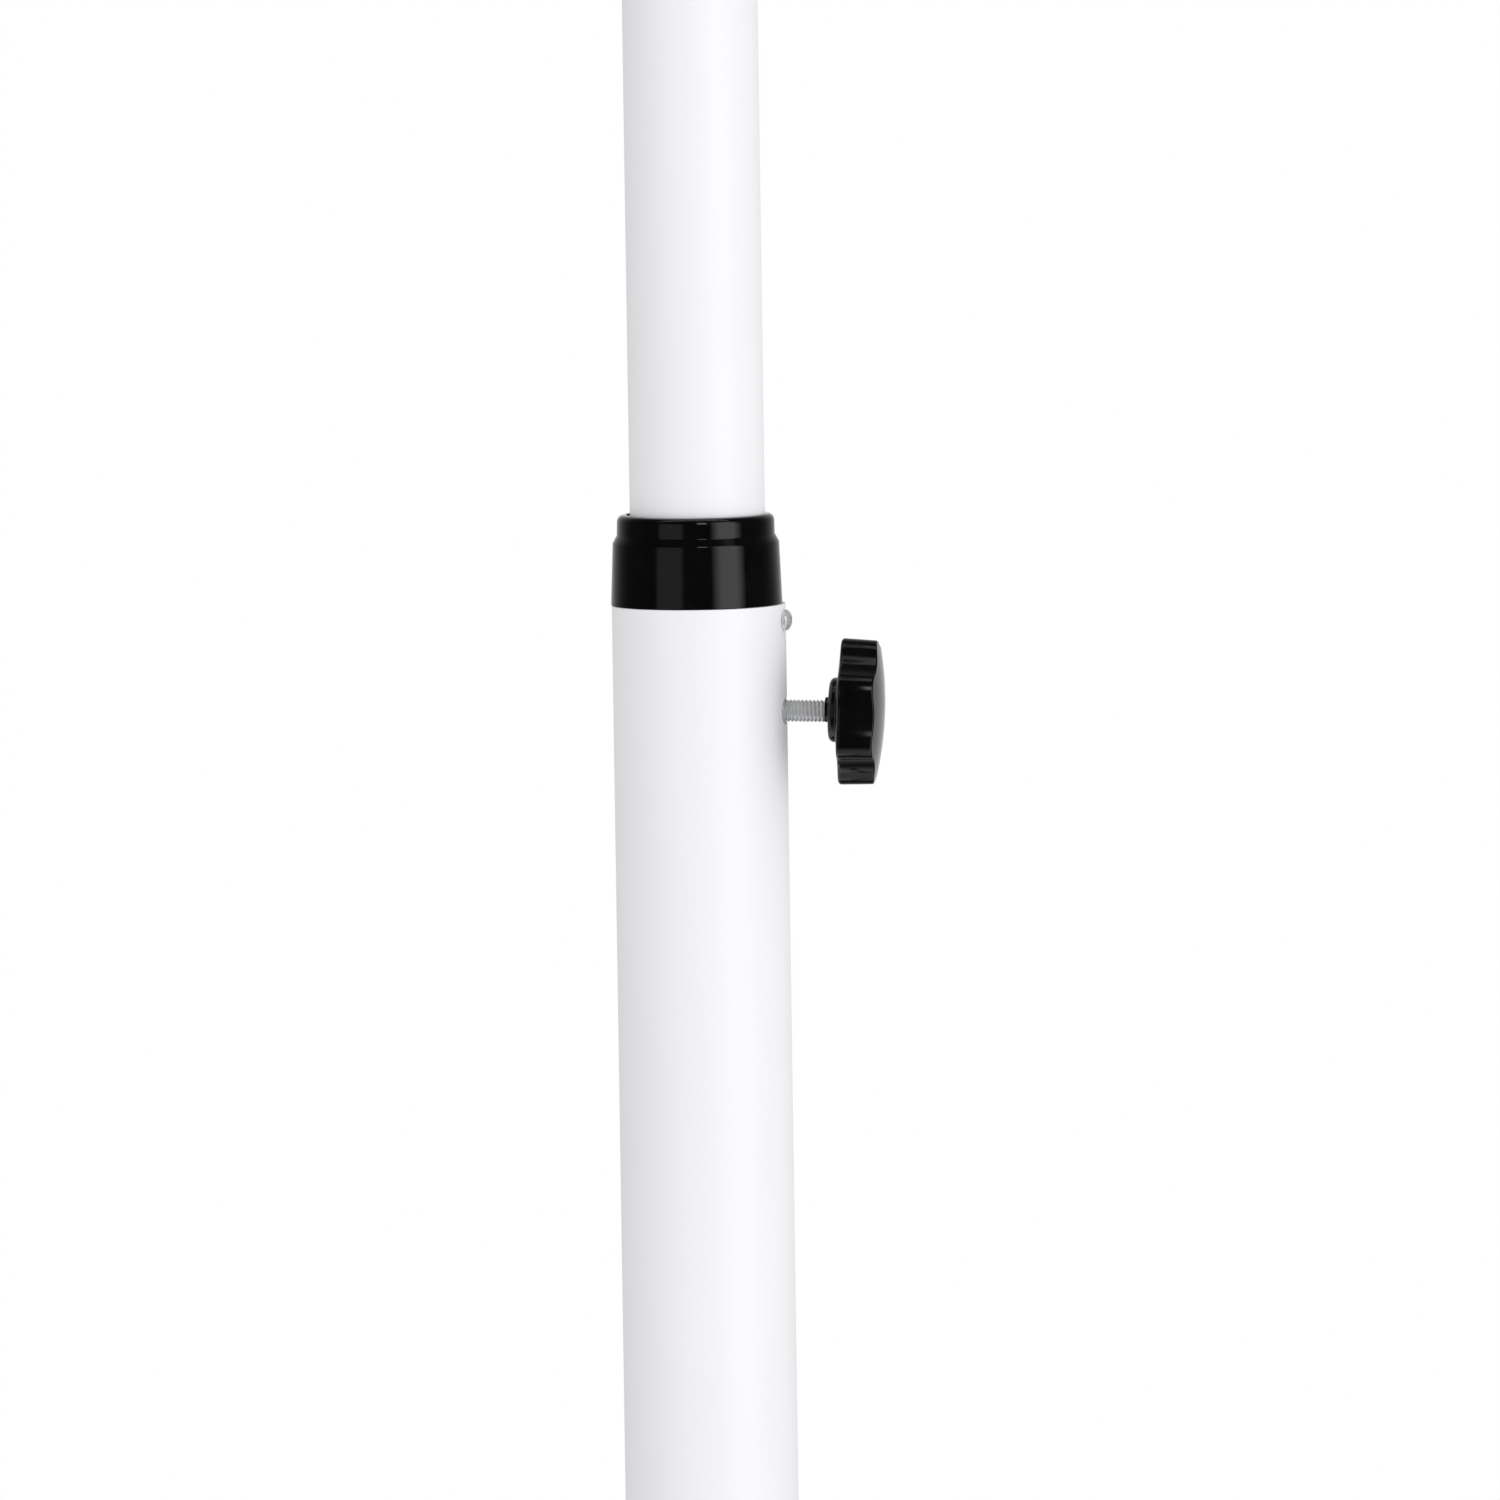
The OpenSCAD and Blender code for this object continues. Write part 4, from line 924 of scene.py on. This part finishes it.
bolt_rows = as_rows(rounded([
    (0, 0, 0), (4.55, 0, 0.12), (4.55, 0.12, 0), (2.5, 2.1, 0), (2.5, 13.2, 0.5), (0, 13.2, 0)]))
rivet_rows = as_rows(rounded([
    (0, 0.02, 0), (2.85, 0.02, 0.08), (1.6, 0.85, 0), (1.6, 2.4, 0), (2.6, 2.4, 0.1),
    (2.6, 2.9, 0.5), (1.7, 3.4, 0.8), (0, 3.5, 0)]))
piece_from(grow(grid_tree, bolt_rows, bright_zinc, in_panel()),
           "desk_bolt_set", "desk", "zinc", ["desk_bolts"])
piece_from(grow(grid_tree, rivet_rows, bright_zinc, in_panel(RIVET_HEIGHT), Columns=5, Rows=1,
                Width=RIVET_SPAN * MM, Key_radius=0.0006, Key_depth=0.0004),
           "ledge_rivet_row", "desk", "zinc", ["ledge_rivets"])

# %% [markdown]
# A real nut is a hexagon bar whose corners are turned off, so its corners end in soft arcs. Cutting a
# hexagon out of a turned blank gives exactly those arcs.


# %% Nut tree
NUT_BAR = 0.05


def nut_grid(tree, size):
    blank = lathe(tree, size["Outline"], size["Around"])
    hexagon = bar(tree, size["Corner radius"], NUT_BAR, 6)
    nut = tree.node("GeometryNodeMeshBoolean", {"operation": "INTERSECT", "solver": "EXACT"},
                    {"Mesh 2": [blank, hexagon]})
    return on_grid(tree, nut, size)


nut_tree = shape_tree("nut_grid", {"Around": 96, **grid_sizes, "Corner radius": 0.00462}, nut_grid)
nut_rows = as_rows(rounded([
    (2.55, 0.3, 0), (2.9, 0, 0), (4.1, 0, 0), (4.75, 0.4, 0), (4.75, 3.6, 0), (4.1, 4.0, 0),
    (2.9, 4.0, 0), (2.55, 3.7, 0)]))
piece_from(grow(nut_tree, nut_rows + nut_rows[:1], bright_zinc, in_panel(0, NUT_FRONT)),
           "desk_nut_set", "desk", "zinc", ["desk_nuts"], crease=20)

# %% [markdown]
# ## Softer edges on castings and pressings
#
# Cast and pressed parts never have knife edges: the mould, the press tool and the coat round them.
# An engineered part arrives as loose triangles with hard edges, so a copy is merged, its flat faces
# are joined again, and a bevel rounds every edge that turns by more than its angle. Smooth shading
# would then bend the flats too, so large faces are given the say over the normals at their borders.


# %% Bevelled copies of the engineered castings and pressings
SLIVER, SAME_PLANE = 3e-5, radians(0.6)


def softened(node, width, segments=3, angle=32.0):
    mesh = nodes[node].data.copy()
    for layer in [a for a in mesh.attributes if a.name == "custom_normal"]:
        mesh.attributes.remove(layer)
    shell = bmesh.new()
    shell.from_mesh(mesh)
    bmesh.ops.remove_doubles(shell, verts=shell.verts, dist=SLIVER)
    bmesh.ops.dissolve_degenerate(shell, dist=SLIVER, edges=shell.edges)
    bmesh.ops.dissolve_limit(shell, angle_limit=SAME_PLANE, verts=shell.verts, edges=shell.edges)
    shell.to_mesh(mesh)
    shell.free()
    holder = bpy.data.objects.new(node + "_soft", mesh)
    bpy.context.scene.collection.objects.link(holder)
    bevel = holder.modifiers.new("edges", "BEVEL")
    bevel.width, bevel.segments, bevel.use_clamp_overlap = width * MM, segments, False
    bevel.limit_method, bevel.angle_limit = "ANGLE", radians(angle)
    result = evaluated_mesh(holder)
    bpy.data.objects.remove(holder)
    bpy.data.meshes.remove(mesh)
    return result


def flats_kept_flat(piece):
    """Lets large faces set the normals at their borders, so that only the bevels look round."""
    weights = piece.modifiers.new("weights", "WEIGHTED_NORMAL")
    weights.keep_sharp = True
    mesh = evaluated_mesh(piece)
    piece.modifiers.remove(weights)
    piece.data = mesh


bodies = frame["record"]["behaviour"]["bodies"]
body_of = {node: body for body, members in bodies.items() for node in members}
EDGES = {"base_hub": 0.8, "tilt_head": 0.6, "desk_bracket": 0.5, "backing_plate": 0.4, "desk_panel": 0.25,
         "music_ledge": 0.25, "leg_hinge_rear": 0.45, "leg_hinge_left": 0.45, "leg_hinge_right": 0.45,
         "tilt_washer": 0.2, "column_plug": 0.8}
for node, width in EDGES.items():
    soft_copy = piece_from(softened(node, width), node + "_soft", body_of[node], slot_of[node], [node])
    flats_kept_flat(soft_copy)
UNMIRRORED = ("music_ledge_soft", "leg_tube_left", "leg_tube_right", "leg_tube_rear")
for name in UNMIRRORED:
    bpy.data.objects[name].visible_glossy = False

# %% [markdown]
# ## The floor, the light and the background
#
# Product light for a white column: a nearly even glow all around, so that white paint renders about
# as it is written, and two tall soft boxes in front, of which the right one is stronger and models
# the round tubes. The floor is pale, takes a soft shadow and fades out into the white background.
#
# Gloss needs a different studio from paint, so it gets its own. The soft boxes, the floor, the ledge
# and the leg tubes are kept out of reflections, and what a black moulding mirrors is painted in the
# world: a bright panel right of the camera, a faint one left, a small lamp high up between them, a
# white wall behind the stand and a soft glow from the ground. The camera's side stays dark.

# %% Floor
FLOOR_RADIUS, FADE_START, FADE_END, FLOOR_DROP = 2.4, 1.1, 2.3, 0.0002
FLOOR_DARK, FLOOR_LIGHT, TONE_SIZE = (0.85, 0.85, 0.85), (0.87, 0.87, 0.87), 0.6
floor_mesh = bpy.data.meshes.new("floor")
disc = bmesh.new()
bmesh.ops.create_circle(disc, cap_ends=True, segments=96, radius=FLOOR_RADIUS)
disc.to_mesh(floor_mesh)
disc.free()
floor = bpy.data.objects.new("floor", floor_mesh)
floor.location.z = -FLOOR_DROP
floor.visible_glossy = False
bpy.context.scene.collection.objects.link(floor)


def pale_floor(tree, place):
    tone = grain(tree, place, TONE_SIZE)
    away = tree.node("ShaderNodeVectorMath", {"operation": "LENGTH"}, {0: place})["Value"]
    return {"Base Color": blend(tree, tone, FLOOR_DARK, FLOOR_LIGHT), "Roughness": 0.7 + tone * 0.1,
            "Alpha": between(tree, away, FADE_START, FADE_END, 1.0, 0.0)}


floor_mesh.materials.append(finish("pale_floor", pale_floor))

# %% World: white for the camera, painted studio for the gloss, even glow for soft light
GLOW, GLOW_RIGHT, GLOW_BEHIND = 0.745, 0.06, 0.35
WALL_DARK, WALL_LIGHT, WALL_FALL = 0.03, 0.62, 3.3
CORE_LIGHT, CORE_FALL, GROUND_LIGHT, LAMP_HEIGHT = 0.35, 90, 0.6, 0.5
LAMP_FADE, RIGHT_FADE, LEFT_FADE = (0.16, 0.12), (0.75, 0.5), (0.5, 0.3)
GROUND_FADE, GROUND_END = (-0.7, -0.95), (0.3, 0.1)
world = bpy.data.worlds.new("studio")
world.use_nodes = True
world.node_tree.nodes.clear()
bpy.context.scene.world = world
sky = Tree(world.node_tree)


def along(direction):
    """How far a ray of the world points along a direction, from -1 to 1."""
    return sky.node("ShaderNodeVectorMath", {"operation": "DOT_PRODUCT"},
                    {0: sky.node("ShaderNodeTexCoord")["Generated"], 1: tuple(direction)})["Value"]


def panel(middle, half, soft_edge, brightness):
    """A soft-edged upright panel of light for the gloss; angles in degrees right of the camera."""
    off = sky.maths("ABSOLUTE", turn_right - radians(middle))
    return brightness * between(sky, off, radians(half + soft_edge), radians(half - soft_edge))


ray = sky.node("ShaderNodeLightPath")
seen = sky.maths("MAXIMUM", ray["Is Camera Ray"], ray["Is Transmission Ray"])
front = Vector((sin(CAMERA_AZIMUTH), -cos(CAMERA_AZIMUTH), 0))
ahead, height = along(-front), along((0, 0, 1))
turn_right = sky.maths("ARCTAN2", along(level_right), along(front))
behind = sky.maths("MAXIMUM", ahead, 0.0)
wall = WALL_DARK + WALL_LIGHT * behind ** WALL_FALL + CORE_LIGHT * behind ** CORE_FALL
lamp_band = between(sky, sky.maths("ABSOLUTE", height - LAMP_HEIGHT), *LAMP_FADE)
lamp = lamp_band * panel(middle=10, half=7, soft_edge=1.5, brightness=2.5)
ground = GROUND_LIGHT * between(sky, height, *GROUND_FADE) * between(sky, ahead, *GROUND_END)
right_box = panel(middle=46, half=18, soft_edge=7, brightness=1.4) * between(sky, height, *RIGHT_FADE)
left_band = between(sky, sky.maths("ABSOLUTE", height), *LEFT_FADE)
left_box = panel(middle=-37, half=18, soft_edge=3, brightness=0.28) * left_band
mirror = wall + ground + right_box + left_box + lamp
soft = GLOW + along((1, 0, 0)) * GLOW_RIGHT + behind * GLOW_BEHIND
mirrored = ray["Is Glossy Ray"]
level = seen + (1 - seen) * (mirrored * mirror + (1 - mirrored) * soft)
grey = sky.node("ShaderNodeCombineColor", {}, {0: level, 1: level, 2: level})
backdrop = sky.node("ShaderNodeBackground", {}, {"Color": grey, "Strength": 1.0})
sky.node("ShaderNodeOutputWorld", {}, {"Surface": backdrop})

# %% Soft boxes
BOX_DISTANCE, BOX_WIDTH, BOX_HEIGHT, BOX_CENTRE, BOX_TURN = 3.2, 2.56, 3.16, 1.28, radians(42)


def soft_box(name, turn, radiance):
    """An upright soft box, with its middle at a turn to the right of the camera."""
    light = bpy.data.lights.new(name, "AREA")
    light.shape, light.size, light.size_y = "RECTANGLE", BOX_WIDTH, BOX_HEIGHT
    light.energy = radiance * pi * BOX_WIDTH * BOX_HEIGHT
    box = bpy.data.objects.new(name, light)
    angle = CAMERA_AZIMUTH + turn
    across, out = Vector((cos(angle), sin(angle), 0)), Vector((sin(angle), -cos(angle), 0))
    middle = column + BOX_DISTANCE * out + Vector((0, 0, BOX_CENTRE))
    box.matrix_world = Matrix.Translation(middle) @ Matrix(
        (across, Vector((0, 0, 1)), out)).transposed().to_4x4()
    box.visible_camera = box.visible_glossy = False
    bpy.context.scene.collection.objects.link(box)
    print(name, "gives", round(light.energy, 2), "W")


soft_box("soft_box_right", BOX_TURN, radiance=1.42)
soft_box("soft_box_left", -BOX_TURN, radiance=0.5)
bpy.context.scene.view_settings.view_transform = "Standard"

# %% [markdown]
# ## The engineered stand's size
#
# The box of the engineered stand, taken before any dressing, is printed last.

# %% Print the engineered stand's size
print("model", [round(v, 4) for corner in model_box for v in corner])
